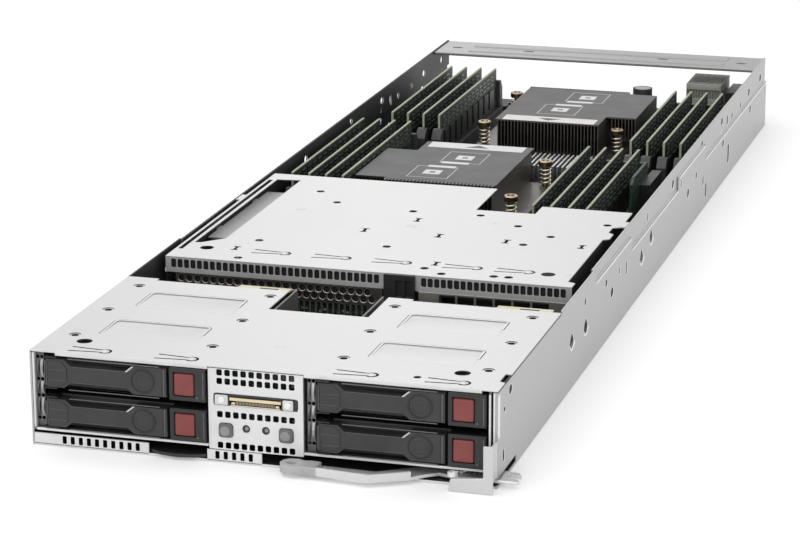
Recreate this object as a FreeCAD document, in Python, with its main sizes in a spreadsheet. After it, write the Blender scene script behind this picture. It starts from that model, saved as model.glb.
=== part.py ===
import FreeCAD, Part
import math
import os
import Sketcher
from collections import namedtuple
from types import SimpleNamespace

# A half-width server node: a folded sheet tray with a drive cage at the front, a card cage behind it,
# and a system board with two processors and four banks of memory open to the rear.
# Frame: x to the right, y to the rear, z up, origin under the middle of the tray's floor.

# Driving sizes in millimetres. The tray's width, depth and height follow from what it holds.
SIZES = {
    "sheet": 1.0,
    "board_thick": 1.6,
    # Drive bays
    "panel_width": 41.0,
    "strip_space": 5.6,
    "strip_inset": 1.0,
    "strip_wide": 3.9,
    "left_gap": 0.7,
    "right_gap": 3.7,
    "carrier_height": 14.7,
    "row_gap": 3.5,
    "slide_gap": 0.6,
    "lid_gap": 1.0,
    "cage_lift": 7.0,
    "ledge_reach": 3.6,
    "lip_height": 5.5,
    "hem": 1.0,
    "hem_depth": 2.5,
    # Drive carriers
    "bezel_proud": 1.5,
    "bezel_back": 12.0,
    "block_width": 16.6,
    "lever_thick": 5.5,
    "lever_gap": 0.3,
    "lever_end_gap": 1.3,
    "lip_thick": 0.7,
    "trunnion_radius": 1.2,
    "trunnion_play": 0.05,
    "grip_notch": 2.6,
    "grip_slope": 3.2,
    "grip_start": 6.75,
    "grip_end": 15.3,
    "button_width": 9.0,
    "button_height": 10.0,
    "button_inset": 6.8,
    "button_deep": 11.0,
    "button_play": 0.25,
    "button_travel": 2.0,
    "drive_width": 69.85,
    "drive_depth": 100.2,
    "drive_height": 14.6,
    "drive_gap": 0.3,
    "drive_play": 0.1,
    "rail_thick": 2.575,
    "connector_reach": 5.6,
    "cage_tail": 2.0,
    # Front panel
    "panel_low": 5.9,
    "panel_recess": 6.0,
    "vent_width": 2.5,
    "vent_height": 2.8,
    "vent_pitch": 3.63,
    "lip_vent_width": 1.9,
    "lip_vent_pitch": 3.8,
    "connector_half": 19.1,
    "connector_half_height": 2.7,
    "connector_lift": 20.8,
    "panel_button": 6.2,
    "panel_button_play": 0.3,
    "panel_button_travel": 1.0,
    "panel_button_x": 13.65,
    "panel_button_lift": 6.85,
    "led_radius": 1.6,
    "led_x": 4.45,
    "led_rise": 1.4,
    "switch_room": 6.0,
    # Drive cage cover
    "lid_notch": 32.0,
    "lid_tab": 5.0,
    "lid_lip": 0.7,
    "corner_notch": 2.6,
    # Card cage
    "riser_gap": 35.0,
    "riser_depth": 171.0,
    "riser_side_gap": 3.5,
    "riser_flange": 8.0,
    "riser_slot_width": 1.8,
    "riser_slot_pitch": 3.3,
    "riser_step": 15.0,
    "step_left": 22.8,
    "step_right": 53.6,
    "window_width": 15.6,
    "clip_left": 10.0,
    "clip_width": 15.0,
    "clip_thick": 2.5,
    "mesh_pitch": 4.1,
    "mesh_rise": 3.5,
    "mesh_radius": 1.7,
    "port_width": 8.1,
    "port_height": 4.0,
    "port_pitch": 9.1,
    "port_rise": 5.0,
    # Memory
    "module_length": 133.35,
    "module_height": 31.25,
    "module_thick": 1.27,
    "module_seat": 1.8,
    "module_pitch": 9.5,
    "module_play": 0.06,
    "socket_width": 6.6,
    "socket_height": 8.0,
    "socket_end": 7.4,
    "latch_height": 17.0,
    "bank_clear": 10.6,
    "bank_gap": 18.75,
    "right_bank_lead": 22.1,
    "front_left_margin": 8.72,
    "rear_left_margin": 20.75,
    "front_right_margin": 29.76,
    "rear_right_margin": 9.94,
    "rear_space": 65.95,
    # Processors and heatsinks
    "standoff": 5.5,
    "socket_frame": 3.9,
    "processor_height": 3.5,
    "sink_base": 4.0,
    "sink_base_half": 45.0,
    "sink_fin_height": 17.7,
    "sink_plate": 0.8,
    "sink_half_width": 31.0,
    "sink_short_end": 40.0,
    "sink_long_end": 50.0,
    "sink_wing": 17.6,
    "sink_wing_front": 35.0,
    "sink_wing_rear": 28.0,
    "fin_pitch": 2.0,
    "fin_thick": 0.6,
    "sink_screw_half": 40.0,
    "sink_screw_radius": 2.0,
    "sink_screw_play": 0.2,
    "sink_screw_height": 25.9,
    "screw_head_radius": 4.0,
    "spring_radius": 3.7,
    "sink_setback": 50.05,
    "sink_step": 164.1,
    "front_sink_gap": 2.37,
    "rear_sink_gap": 10.9,
    "block_fin_pitch": 2.75,
    # Rear end
    "bar_width": 36.2,
    "signal_width": 22.0,
    "signal_length": 32.0,
    "signal_height": 24.0,
    "signal_inset": 21.5,
    "rib_pitch": 1.75,
    "power_width": 14.0,
    "power_length": 28.0,
    "power_height": 19.0,
    "power_inset": 5.2,
    "can_radius": 6.0,
    "can_height": 23.4,
    # Ejector lever
    "pivot_radius": 3.0,
    "pivot_play": 0.05,
    "pivot_inset": 18.5,
    "pivot_setback": 9.0,
    "pivot_head": 4.6,
    "lever_plate": 1.5,
    "lever_lift": 0.8,
    "lever_rim": 2.4,
    "hook_reach": 8.3,
    "corner_sheet": 1.2,
    "corner_ahead": 8.0,
    "corner_foot": 5.6,
    "corner_height": 21.3,
    "corner_leg": 4.3,
    # Wall band
    "band_depth": 1.2,
    "band_high": 37.0,
    "band_middle": 30.5,
    "band_low": 28.5,
    "press_depth": 0.4,
}


class Formula:
    """A size in millimetres together with its text as a formula on the sheet."""

    def __init__(self, value, text):
        self.value = value
        self.text = text

    def join(self, other, sign, value, swap=False):
        pair = [self.text, text_of(other)]
        if swap:
            pair.reverse()
        return Formula(value, f"({pair[0]} {sign} {pair[1]})")

    def __add__(self, other):
        return self.join(other, "+", self.value + number(other))

    def __radd__(self, other):
        return self + other

    def __sub__(self, other):
        return self.join(other, "-", self.value - number(other))

    def __rsub__(self, other):
        return self.join(other, "-", number(other) - self.value, swap=True)

    def __mul__(self, other):
        return self.join(other, "*", self.value * number(other))

    def __rmul__(self, other):
        return self * other

    def __truediv__(self, other):
        return self.join(other, "/", self.value / number(other))

    def __neg__(self):
        return self * -1


def number(value):
    return value.value if isinstance(value, Formula) else float(value)


def text_of(value):
    return value.text if isinstance(value, Formula) else f"({float(value)!r})"


doc = FreeCAD.newDocument("server_node")
cells = doc.addObject("Spreadsheet::Sheet", "sizes")
for line, (name, value) in enumerate(SIZES.items(), start=1):
    cells.set(f"A{line}", name)
    cells.set(f"B{line}", str(value))
    cells.setAlias(f"B{line}", name)
doc.recompute()
size = SimpleNamespace(**{name: Formula(value, f"sizes.{name}") for name, value in SIZES.items()})

Disc = namedtuple("Disc", "x y radius")
nodes = []


def bind(thing, prop, value):
    if isinstance(value, Formula):
        thing.setExpression(prop, value.text)


def place(thing, x, y, z, turn=0):
    spin = FreeCAD.Rotation(FreeCAD.Vector(0, 0, 1), turn)
    thing.Placement = FreeCAD.Placement(FreeCAD.Vector(number(x), number(y), number(z)), spin)
    for axis, value in zip("xyz", (x, y, z)):
        bind(thing, f"Placement.Base.{axis}", value)


def new_body(label, keep=True):
    """Start a sub-part. One that is only copied into a group isn't kept by itself."""
    body = doc.addObject("PartDesign::Body", label)
    body.Label = label
    if keep:
        nodes.append(body)
    return body


def group(label, piece, places):
    """Copies of one piece, each at its own place, kept together under one name."""
    copies = []
    for spot in places:
        copy = doc.addObject("App::Link", f"{label}_copy")
        copy.LinkedObject = piece
        place(copy, *spot)
        copies.append(copy)
    node = doc.addObject("Part::Compound", label)
    node.Label = label
    node.Links = copies
    nodes.append(node)
    return node


def rectangle(x0, x1, y0, y1):
    return [(x0, y0), (x1, y0), (x1, y1), (x0, y1)]


def polygon(x, y, radius, sides=6):
    """Corners of a regular polygon about a point."""
    turns = [math.tau * index / sides for index in range(sides)]
    return [(x + radius * round(math.cos(turn), 6), y + radius * round(math.sin(turn), 6)) for turn in turns]


def lance(x, y, long, wide):
    """A pointed slot, as left by a stamped lance."""
    return [(x - long / 2, y), (x - long / 4, y - wide / 2), (x + long / 4, y - wide / 2), (x + long / 2, y),
            (x + long / 4, y + wide / 2), (x - long / 4, y + wide / 2)]


def sketch_on(body, plane, level, shapes):
    """A sketch on one of the body's own planes, moved along that plane's axis to a level."""
    sketch = body.newObject("Sketcher::SketchObject", f"{body.Label}_sketch")
    support = [item for item in body.Origin.OriginFeatures if item.Role == f"{plane}_Plane"][0]
    sketch.AttachmentSupport = [(support, "")]
    sketch.MapMode = "FlatFace"
    offset = -level if plane == "XZ" else level
    sketch.AttachmentOffset = FreeCAD.Placement(FreeCAD.Vector(0, 0, number(offset)), FreeCAD.Rotation())
    bind(sketch, "AttachmentOffset.Base.z", offset)
    for shape in shapes:
        if isinstance(shape, Disc):
            draw_disc(sketch, shape)
        else:
            draw_outline(sketch, shape)
    return sketch


def hold(sketch, kind, item, point, value):
    index = sketch.addConstraint(Sketcher.Constraint(kind, -1, 1, item, point, number(value)))
    bind(sketch, f"Constraints[{index}]", value)


def draw_outline(sketch, corners):
    first = sketch.GeometryCount
    spots = [FreeCAD.Vector(number(x), number(y), 0) for x, y in corners]
    count = len(spots)
    for index in range(count):
        sketch.addGeometry(Part.LineSegment(spots[index], spots[(index + 1) % count]))
    for index in range(count):
        after = first + (index + 1) % count
        sketch.addConstraint(Sketcher.Constraint("Coincident", first + index, 2, after, 1))
    for index, (x, y) in enumerate(corners):
        hold(sketch, "DistanceX", first + index, 1, x)
        hold(sketch, "DistanceY", first + index, 1, y)


def draw_disc(sketch, disc):
    middle = FreeCAD.Vector(number(disc.x), number(disc.y), 0)
    item = sketch.addGeometry(Part.Circle(middle, FreeCAD.Vector(0, 0, 1), number(disc.radius)))
    hold(sketch, "DistanceX", item, 3, disc.x)
    hold(sketch, "DistanceY", item, 3, disc.y)
    index = sketch.addConstraint(Sketcher.Constraint("Radius", item, number(disc.radius)))
    bind(sketch, f"Constraints[{index}]", disc.radius)


def pad(body, plane, low, high, *shapes):
    """Add the shapes as a block from low to high along the plane's axis."""
    block = body.newObject("PartDesign::Pad", f"{body.Label}_pad")
    block.Profile = sketch_on(body, plane, high if plane == "XZ" else low, shapes)
    block.Length = number(high - low)
    bind(block, "Length", high - low)
    return block


def pocket(body, plane, low, high, *shapes):
    """Cut the shapes away from low to high along the plane's axis."""
    cut = body.newObject("PartDesign::Pocket", f"{body.Label}_pocket")
    cut.Profile = sketch_on(body, plane, low if plane == "XZ" else high, shapes)
    cut.Length = number(high - low)
    bind(cut, "Length", high - low)
    return cut


def repeat(body, feature, count, pitch, count_up=1, pitch_up=0):
    """Repeat a feature across its sketch, and up it too where a second count is given."""
    pattern = body.newObject("PartDesign::LinearPattern", f"{body.Label}_row")
    pattern.Originals = [feature]
    sketch = feature.Profile[0]
    pattern.Direction = (sketch, ["H_Axis"])
    pattern.Occurrences = count
    pattern.Length = number(pitch * (count - 1))
    bind(pattern, "Length", pitch * (count - 1))
    if count_up > 1:
        pattern.Direction2 = (sketch, ["V_Axis"])
        pattern.Occurrences2 = count_up
        pattern.Length2 = number(pitch_up * (count_up - 1))
        bind(pattern, "Length2", pitch_up * (count_up - 1))
    body.Tip = pattern
    return pattern


# Overall sizes that follow from the bays, the cards and the memory
carrier_width = size.drive_width + (size.rail_thick + size.drive_play) * 2
bay_width = size.strip_space + carrier_width
half_width = (size.panel_width + size.sheet * 4 + bay_width * 2 + size.left_gap + size.right_gap) / 2
inner = half_width - size.sheet
panel_left = bay_width + size.left_gap + size.sheet - inner
panel_right = panel_left + size.panel_width
panel_x = (panel_left + panel_right) / 2
bays = (-inner, panel_right + size.sheet)
carrier_x = [bay + size.strip_space for bay in bays]
cage_top = size.cage_lift + size.sheet
row_pitch = size.carrier_height + size.row_gap
carrier_z = [cage_top + size.slide_gap + row_pitch, cage_top + size.slide_gap]
under_top = carrier_z[0] + size.carrier_height + size.lid_gap
top = under_top + size.sheet
cage_depth = (size.bezel_back + size.drive_gap * 2 + size.drive_depth + size.connector_reach
              + size.board_thick + size.cage_tail)
riser_start = cage_depth + size.riser_gap
riser_end = riser_start + size.riser_depth
left_bank_start = riser_end + size.bank_clear
right_bank_start = riser_end - size.right_bank_lead
bank_step = size.module_length + size.bank_gap
depth = left_bank_start + bank_step + size.module_length + size.rear_space
front = -depth / 2
rear = depth / 2
backplane_y = front + cage_depth - size.cage_tail - size.board_thick
board_low = size.sheet + size.standoff
board_top = board_low + size.board_thick
sink_low = board_top + size.socket_frame + size.processor_height
bank_span = size.module_pitch * 3
front_left_x = -inner + size.front_left_margin
rear_left_x = -inner + size.rear_left_margin
front_right_x = inner - size.front_right_margin - bank_span
rear_right_x = inner - size.rear_right_margin - bank_span
sink_reach = size.sink_half_width + size.sink_wing
front_sink_x = front_left_x + bank_span + size.front_sink_gap + sink_reach
rear_sink_x = rear_right_x - size.rear_sink_gap - sink_reach
front_sink_y = front + left_bank_start + size.sink_setback
rear_sink_y = front_sink_y + size.sink_step
pivot_x = half_width - size.pivot_inset
pivot_y = front + size.pivot_setback
lever_low = size.sheet + size.lever_lift
lever_top = lever_low + size.lever_plate

# Board screws: places on the system board clear of the sockets
BOARD_SCREW_RADIUS = 1.5
SCREW_EDGE = 6.5
board_screws_at = [
    (-inner + SCREW_EDGE, front + cage_depth + 26),
    (inner - SCREW_EDGE, front + cage_depth + 26),
    (-inner + SCREW_EDGE, front + left_bank_start + bank_step - 5),
    (inner - SCREW_EDGE, front + right_bank_start + size.module_length - 2),
    (0, rear - 22),
]


# Tray: floor and two walls from one folded sheet, each wall with a folded hem at its front edge
SEAM = 0.4
lid_rear = backplane_y - 0.5
tray = new_body("tray_base")
pad(tray, "XZ", front, rear, [
    (-half_width, 0), (half_width, 0), (half_width, top), (inner, top),
    (inner, size.sheet), (-inner, size.sheet), (-inner, top), (-half_width, top)])
pad(tray, "XZ", front, front + size.hem_depth,
    rectangle(-inner, -inner + size.hem, cage_top, under_top),
    rectangle(inner - size.hem, inner, cage_top, under_top))
pocket(tray, "XY", under_top, top,
       rectangle(-half_width, -inner, front, lid_rear + SEAM),
       rectangle(inner, half_width, front, lid_rear + SEAM))
# Upturned front lip in two strips, with a row of vents in each
TAB_SPAN = 27.0
MIDDLE_STRIP = 24.9
strip_start = panel_left - 2
lip_strips = ((-inner, strip_start - TAB_SPAN), (strip_start, strip_start + MIDDLE_STRIP))
LIP_VENTS = (10, 5)
LIP_VENT_MARGIN = (4.2, 4.1)
lip_vent_low, lip_vent_high = 1.4, 4.9
for (x0, x1), count, margin in zip(lip_strips, LIP_VENTS, LIP_VENT_MARGIN):
    pad(tray, "XZ", front, front + size.sheet, rectangle(x0, x1, size.sheet / 2, size.lip_height))
    vent_x = x1 - margin - size.lip_vent_pitch * (count - 1) - size.lip_vent_width
    vent = pocket(tray, "XZ", front, front + size.sheet,
                  rectangle(vent_x, vent_x + size.lip_vent_width, lip_vent_low, lip_vent_high))
    repeat(tray, vent, count, size.lip_vent_pitch)


def band(margin, over_top, past_rear):
    """Outline of the pressed band on a wall, grown by a margin, up to over_top and back to past_rear."""
    start = front + cage_depth + 70 - margin
    step = front + riser_end - 55
    rise = front + left_bank_start + 59
    drop = rise + 80
    return [(start, over_top), (start, size.band_high - margin), (step - margin, size.band_high - margin),
            (step - margin, size.band_middle - margin), (rise + margin, size.band_middle - margin),
            (rise + margin, size.band_high - margin), (drop - margin, size.band_high - margin),
            (drop - margin, size.band_low - margin), (past_rear, size.band_low - margin),
            (past_rear, over_top)]


# Stamped band along the upper wall, pressed inwards on both sides
OVERCUT = 2
for low, high in ((inner - size.band_depth, inner), (-inner, -inner + size.band_depth)):
    pad(tray, "YZ", low, high, band(size.sheet, top, rear))
for low, high in ((half_width - size.band_depth, half_width), (-half_width, -half_width + size.band_depth)):
    pocket(tray, "YZ", low, high, band(0, top + OVERCUT, rear + OVERCUT))
# Shallow pressed field beside the memory, with one sloping end
field_y = front + left_bank_start + 65
field_top = size.band_high - 2
field = [(field_y, field_top), (field_y + 13, 6), (field_y + 64, 6), (field_y + 64, field_top)]
for low, high in ((half_width - size.press_depth, half_width), (-half_width, -half_width + size.press_depth)):
    pocket(tray, "YZ", low, high, field)
# Slot in the right wall for the ejector's hooks
HOOK_SLOT = 33
pocket(tray, "YZ", inner - 1, half_width,
       rectangle(front - 1, front + HOOK_SLOT, lever_low - 0.6, lever_top + 0.9))
# Holes and slots through both walls
lances_at = ((141, 21.5), (172, 20.5), (230, 20), (300, 20), (558, 17))
wall_lances = [lance(front + y, z, 4.6, 3.4) for y, z in lances_at]
wall_slots = [rectangle(front + y, front + y + 2.2, 18, 25) for y in (262, 272, 467, 477)]
pocket(tray, "YZ", -half_width, half_width, *wall_lances, *wall_slots)
# Hexagonal standoffs that carry the system board
STANDOFF_RADIUS = 3.4
STANDOFF_BORE = 4
pad(tray, "XY", size.sheet / 2, board_low, *[polygon(x, y, STANDOFF_RADIUS) for x, y in board_screws_at])
pocket(tray, "XY", board_low - STANDOFF_BORE, board_low,
       *[Disc(x, y, BOARD_SCREW_RADIUS + 0.05) for x, y in board_screws_at])

# Rear cross bar: a flat strip between the wall tops with two raised beads and a small front lip
BAR_DROP = 0.6
BAR_LIP = 1.8
BEAD_WIDTH = 6
BEAD_END = 22
bar = new_body("rear_cross_bar")
bar_top = top - BAR_DROP
bar_half = inner - size.band_depth
bar_front = rear - size.bar_width
pad(bar, "XY", bar_top - size.sheet, bar_top, rectangle(-bar_half, bar_half, bar_front, rear))
for y in (bar_front + 7, bar_front + 22):
    pad(bar, "XY", bar_top, top, rectangle(-inner + BEAD_END, inner - BEAD_END, y, y + BEAD_WIDTH))
pad(bar, "XZ", bar_front, bar_front + size.sheet, rectangle(-bar_half, bar_half, bar_top - BAR_LIP, bar_top))
pocket(bar, "XY", bar_top - size.sheet, bar_top,
       *[lance(x, bar_front + 17.5, 8, 3) for x in (-inner + 12, -45, 42, inner - 12)])

# Drive cage: floor, three upright plates and the ledges that carry the upper carriers
STRIP_DEPTH = 7.0
ledge_top = cage_top + row_pitch
ledge_z = ledge_top - size.sheet
side_x = carrier_x[1] + carrier_width + size.left_gap
cage = new_body("drive_cage")
pad(cage, "XZ", front, front + cage_depth, rectangle(-inner, inner, size.cage_lift, cage_top))
pad(cage, "XZ", front + size.sheet, front + cage_depth,
    rectangle(panel_left - size.sheet, panel_left, cage_top, under_top),
    rectangle(panel_right, panel_right + size.sheet, cage_top, under_top))
pad(cage, "XZ", front + size.sheet, backplane_y - size.drive_gap,
    rectangle(side_x, side_x + size.sheet, cage_top, under_top))
pocket(cage, "XY", size.cage_lift, cage_top, [
    (panel_left - size.sheet, front), (panel_right + size.sheet, front),
    (panel_right + size.sheet, front + size.sheet), (panel_right, front + size.sheet),
    (panel_right, front + size.panel_recess), (panel_left, front + size.panel_recess),
    (panel_left, front + size.sheet), (panel_left - size.sheet, front + size.sheet)])


def ledge_angle(side, reach):
    """Section of an angle that stands on the cage's floor at the left of a bay and carries a carrier."""
    return [(side, cage_top), (side + size.sheet, cage_top), (side + size.sheet, ledge_z),
            (side + reach, ledge_z), (side + reach, ledge_top), (side, ledge_top)]


angle_reach = size.strip_space + size.ledge_reach - size.sheet
tongue_reach = size.left_gap + size.ledge_reach
pad(cage, "XZ", front + STRIP_DEPTH, backplane_y - size.drive_gap,
    *[ledge_angle(bay, angle_reach) for bay in bays],
    *[rectangle(x - tongue_reach, x, ledge_z, ledge_top) for x in (panel_left - size.sheet, side_x)])

# Drive cage cover: lid that lies on the walls, with a front lip, turned-down sides and a toothed rear edge
LID_FLANGE = 9
LID_SIDE = 0.8
NOTCH_START, NOTCH_END = 17, 29
lid = new_body("drive_cage_cover")
tooth = lid_rear - size.lid_tab
notch_x = half_width - size.corner_notch
gap_left = panel_left - size.sheet - 1.5
gap_right = panel_right + size.sheet + 3
pad(lid, "XY", under_top, top, [
    (-half_width, front), (half_width, front), (half_width, front + NOTCH_START),
    (notch_x, front + NOTCH_START), (notch_x, front + NOTCH_END), (half_width, front + NOTCH_END),
    (half_width, tooth), (half_width - 4, tooth), (half_width - 4, lid_rear), (half_width - 30, lid_rear),
    (half_width - 30, tooth), (gap_right + 12, tooth), (gap_right + 12, lid_rear),
    (gap_right, lid_rear), (gap_right, lid_rear - size.lid_notch),
    (gap_left, lid_rear - size.lid_notch), (gap_left, lid_rear), (gap_left - 24.5, lid_rear),
    (gap_left - 24.5, tooth), (15.5 - half_width, tooth), (15.5 - half_width, lid_rear), (-half_width, lid_rear)])
lid_half = inner - SEAM
for x0, x1 in ((-lid_half, -lid_half + LID_SIDE), (lid_half - LID_SIDE, lid_half)):
    pad(lid, "XY", under_top - LID_FLANGE, under_top, rectangle(x0, x1, front + 34, tooth))
LIP_START, LIP_STOP = 12, 7
pad(lid, "XY", under_top - size.lid_lip, under_top,
    rectangle(-half_width + LIP_START, panel_left - size.sheet, front, front + size.sheet),
    rectangle(panel_right + size.sheet, half_width - LIP_STOP, front, front + size.sheet))
FINGER = 19.5
FINGER_WIDE = 4
SLIT = 0.7
GROOVE = 1.2
PANEL_LONG, PANEL_DEEP = 45, 24


def finger_slot(x, y):
    """Slit round three sides of a spring finger that starts at x, y."""
    return [(x, y), (x + FINGER, y), (x + FINGER, y + FINGER_WIDE), (x, y + FINGER_WIDE),
            (x, y + FINGER_WIDE - SLIT), (x + FINGER - SLIT, y + FINGER_WIDE - SLIT),
            (x + FINGER - SLIT, y + SLIT), (x, y + SLIT)]


for x in (-inner / 2 - 10.5, inner / 2 + 10.5):
    # Round hole, two spring fingers near the front edge and the outlines of two stamped panels
    pocket(lid, "XY", under_top, top, Disc(x - 25, front + 19, 3.4))
    for finger_x in (x - 27.5, x + 13):
        pocket(lid, "XY", under_top, top, finger_slot(finger_x, front + 6.5))
    for panel_y in (front + 52, front + 95):
        panel_start = x - PANEL_LONG / 2
        pocket(lid, "XY", top - 0.4, top, [
            (panel_start, panel_y - PANEL_DEEP), (panel_start + GROOVE, panel_y - PANEL_DEEP),
            (panel_start + GROOVE, panel_y), (panel_start + PANEL_LONG, panel_y),
            (panel_start + PANEL_LONG, panel_y + GROOVE), (panel_start, panel_y + GROOVE)])

# Spring strips that touch the carriers' sides, one at the left of each bay
STRIP_SHEET = 0.6
STRIP_HOLES = 8
strip = new_body("bay_spring_strip", keep=False)
strip_tall = under_top - cage_top
leg = STRIP_DEPTH - 1.5
pad(strip, "XY", 0, strip_tall, [
    (0, 0), (size.strip_wide, 0), (size.strip_wide, STRIP_SHEET), (STRIP_SHEET, STRIP_SHEET),
    (STRIP_SHEET, leg), (0, leg)])
strip_pitch = strip_tall / STRIP_HOLES
spring_hole = pocket(strip, "XZ", 0, STRIP_SHEET,
                     rectangle(1.2, size.strip_wide - 0.8, 1.2, strip_pitch - 1.0))
holes = strip.newObject("PartDesign::LinearPattern", "bay_spring_strip_row")
holes.Originals = [spring_hole]
holes.Direction = (spring_hole.Profile[0], ["V_Axis"])
holes.Occurrences = STRIP_HOLES
holes.Length = number(strip_pitch * (STRIP_HOLES - 1))
bind(holes, "Length", strip_pitch * (STRIP_HOLES - 1))
strip.Tip = holes
group("bay_spring_strips", strip, [(x + size.strip_inset, front + size.sheet, cage_top) for x in bays])

# Front grille between the bays, with vents, the connector's cut-out and holes for buttons and lights
GRILLE_VENTS = 10
panel = new_body("front_grille_panel")
pad(panel, "XZ", front, front + size.sheet,
    rectangle(panel_left - size.sheet, panel_right + size.sheet, size.panel_low, under_top))
vents_left = panel_x - size.vent_pitch * (GRILLE_VENTS - 1) / 2 - size.vent_width / 2
for z in (under_top - 3.1, under_top - 7.0, cage_top + 12.5, size.panel_low + 0.6):
    vents = pocket(panel, "XZ", front, front + size.sheet,
                   rectangle(vents_left, vents_left + size.vent_width, z, z + size.vent_height))
    repeat(panel, vents, GRILLE_VENTS, size.vent_pitch)
connector_z = cage_top + size.connector_lift
pocket(panel, "XZ", front, front + size.sheet,
       rectangle(panel_x - size.connector_half, panel_x + size.connector_half,
                 connector_z - size.connector_half_height, connector_z + size.connector_half_height))
button_z = cage_top + size.panel_button_lift
led_z = button_z + size.led_rise
buttons_at = (panel_x - size.panel_button_x, panel_x + size.panel_button_x)
leds_at = (panel_x - size.led_x, panel_x + size.led_x)
hole_half = size.panel_button / 2 + size.panel_button_play
pocket(panel, "XZ", front, front + size.sheet,
       *[rectangle(x - hole_half, x + hole_half, button_z - hole_half, button_z + hole_half) for x in buttons_at],
       *[Disc(x, led_z, size.led_radius + 0.1) for x in leds_at])

# Small board behind the grille that carries the connector, the switches and the lights
io_board_y = front + size.sheet + size.switch_room
io_board = new_body("front_io_board")
pad(io_board, "XZ", io_board_y, io_board_y + size.board_thick,
    rectangle(panel_left, panel_right, cage_top, connector_z + 8))

# High-density connector with a jack screw block at each end
PLUG_PLAY = 0.15
PLUG_PROUD = 0.4
JACK_X = 15.4
plug = new_body("front_io_connector")
plug_half = size.connector_half - PLUG_PLAY
plug_tall = size.connector_half_height - PLUG_PLAY
pad(plug, "XZ", front - PLUG_PROUD, io_board_y,
    rectangle(panel_x - plug_half, panel_x + plug_half, connector_z - plug_tall, connector_z + plug_tall))
pocket(plug, "XZ", front - PLUG_PROUD, front + 3.5,
       rectangle(panel_x - 11.6, panel_x + 11.6, connector_z - 1.8, connector_z + 1.8),
       *[polygon(x, connector_z, 1.6) for x in (panel_x - JACK_X, panel_x + JACK_X)])
pad(plug, "XZ", front + PLUG_PROUD, front + 4,
    rectangle(panel_x - 10.4, panel_x + 10.4, connector_z - 0.6, connector_z + 0.6))

# Status lights: pins from the small board to just past the panel's face
led = new_body("status_led", keep=False)
pad(led, "XZ", -0.4, io_board_y - front, Disc(0, 0, size.led_radius))
group("status_leds", led, [(x, front, led_z) for x in leds_at])

# Two push buttons in the grille, each with a collar behind the panel
KEY_PROUD = 1.3
KEY_CORNER = 1.2
COLLAR = 1.2
for label, x in zip(("power_button", "identity_button"), buttons_at):
    key = new_body(label)
    half = size.panel_button / 2
    flat = half - KEY_CORNER
    collar = half + COLLAR
    collar_y = front + size.sheet + size.panel_button_play
    pad(key, "XZ", front - KEY_PROUD, io_board_y - size.panel_button_travel - size.panel_button_play, [
        (-flat, -half), (flat, -half), (half, -flat), (half, flat), (flat, half), (-flat, half), (-half, flat),
        (-half, -flat)])
    pad(key, "XZ", collar_y, collar_y + size.sheet, rectangle(-collar, collar, -collar, collar))
    place(key, x, 0, button_z)

# Drive backplanes behind the bays, standing on the cage floor, with a connector for each drive
EDGE = 1.6
STEP_WIDTH = 28
STEP_DROP = 4
PLUG_HALF = 17
backplane = new_body("drive_backplane", keep=False)
back_top = under_top - cage_top
pad(backplane, "XZ", 0, size.board_thick, [
    (EDGE, 0), (bay_width, 0), (bay_width, back_top), (bay_width - STEP_WIDTH, back_top),
    (bay_width - STEP_WIDTH, back_top - STEP_DROP), (EDGE, back_top - STEP_DROP)])
group("drive_backplanes", backplane, [(x, backplane_y, cage_top) for x in bays])
socket_plug = new_body("drive_connector", keep=False)
pad(socket_plug, "XZ", -size.connector_reach, 0, rectangle(-PLUG_HALF, PLUG_HALF, 0, 5.2))
pocket(socket_plug, "XZ", -size.connector_reach, -size.connector_reach + 3.5,
       rectangle(2.5 - PLUG_HALF, PLUG_HALF - 2.5, 2, 3.6))
group("drive_connectors", socket_plug,
      [(x + carrier_width / 2, backplane_y, z + 2) for x in carrier_x for z in carrier_z])

# Drive carriers: a bezel with a button block, two rails, a drive, a swinging lever and a release button
HINGE_EDGE = 0.5
bezel_front = -size.bezel_proud
lever_back = bezel_front + size.lever_thick
bezel_face = lever_back + size.lever_gap
bar_round = size.lever_thick / 2
hinge_x = bar_round + HINGE_EDGE
hinge_y = bezel_front + bar_round
block_x = carrier_width - size.block_width
lever_end = block_x - size.lever_end_gap
key_x = block_x + size.button_inset
lip_room = size.lip_thick + size.lever_gap
lever_high = size.carrier_height - lip_room
drive_start = size.bezel_back + size.drive_gap
drive_end = drive_start + size.drive_depth
drive_low = (size.carrier_height - size.drive_height) / 2
drive_x = size.rail_thick + size.drive_play
mid_height = size.carrier_height / 2
key_end = bezel_front + size.button_deep
grip_left, grip_right = hinge_x + size.grip_start, lever_end - size.grip_end
notch_low, notch_high = lip_room + size.grip_notch, lever_high - size.grip_notch
spots = [(x, z) for x in carrier_x for z in carrier_z]
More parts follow.
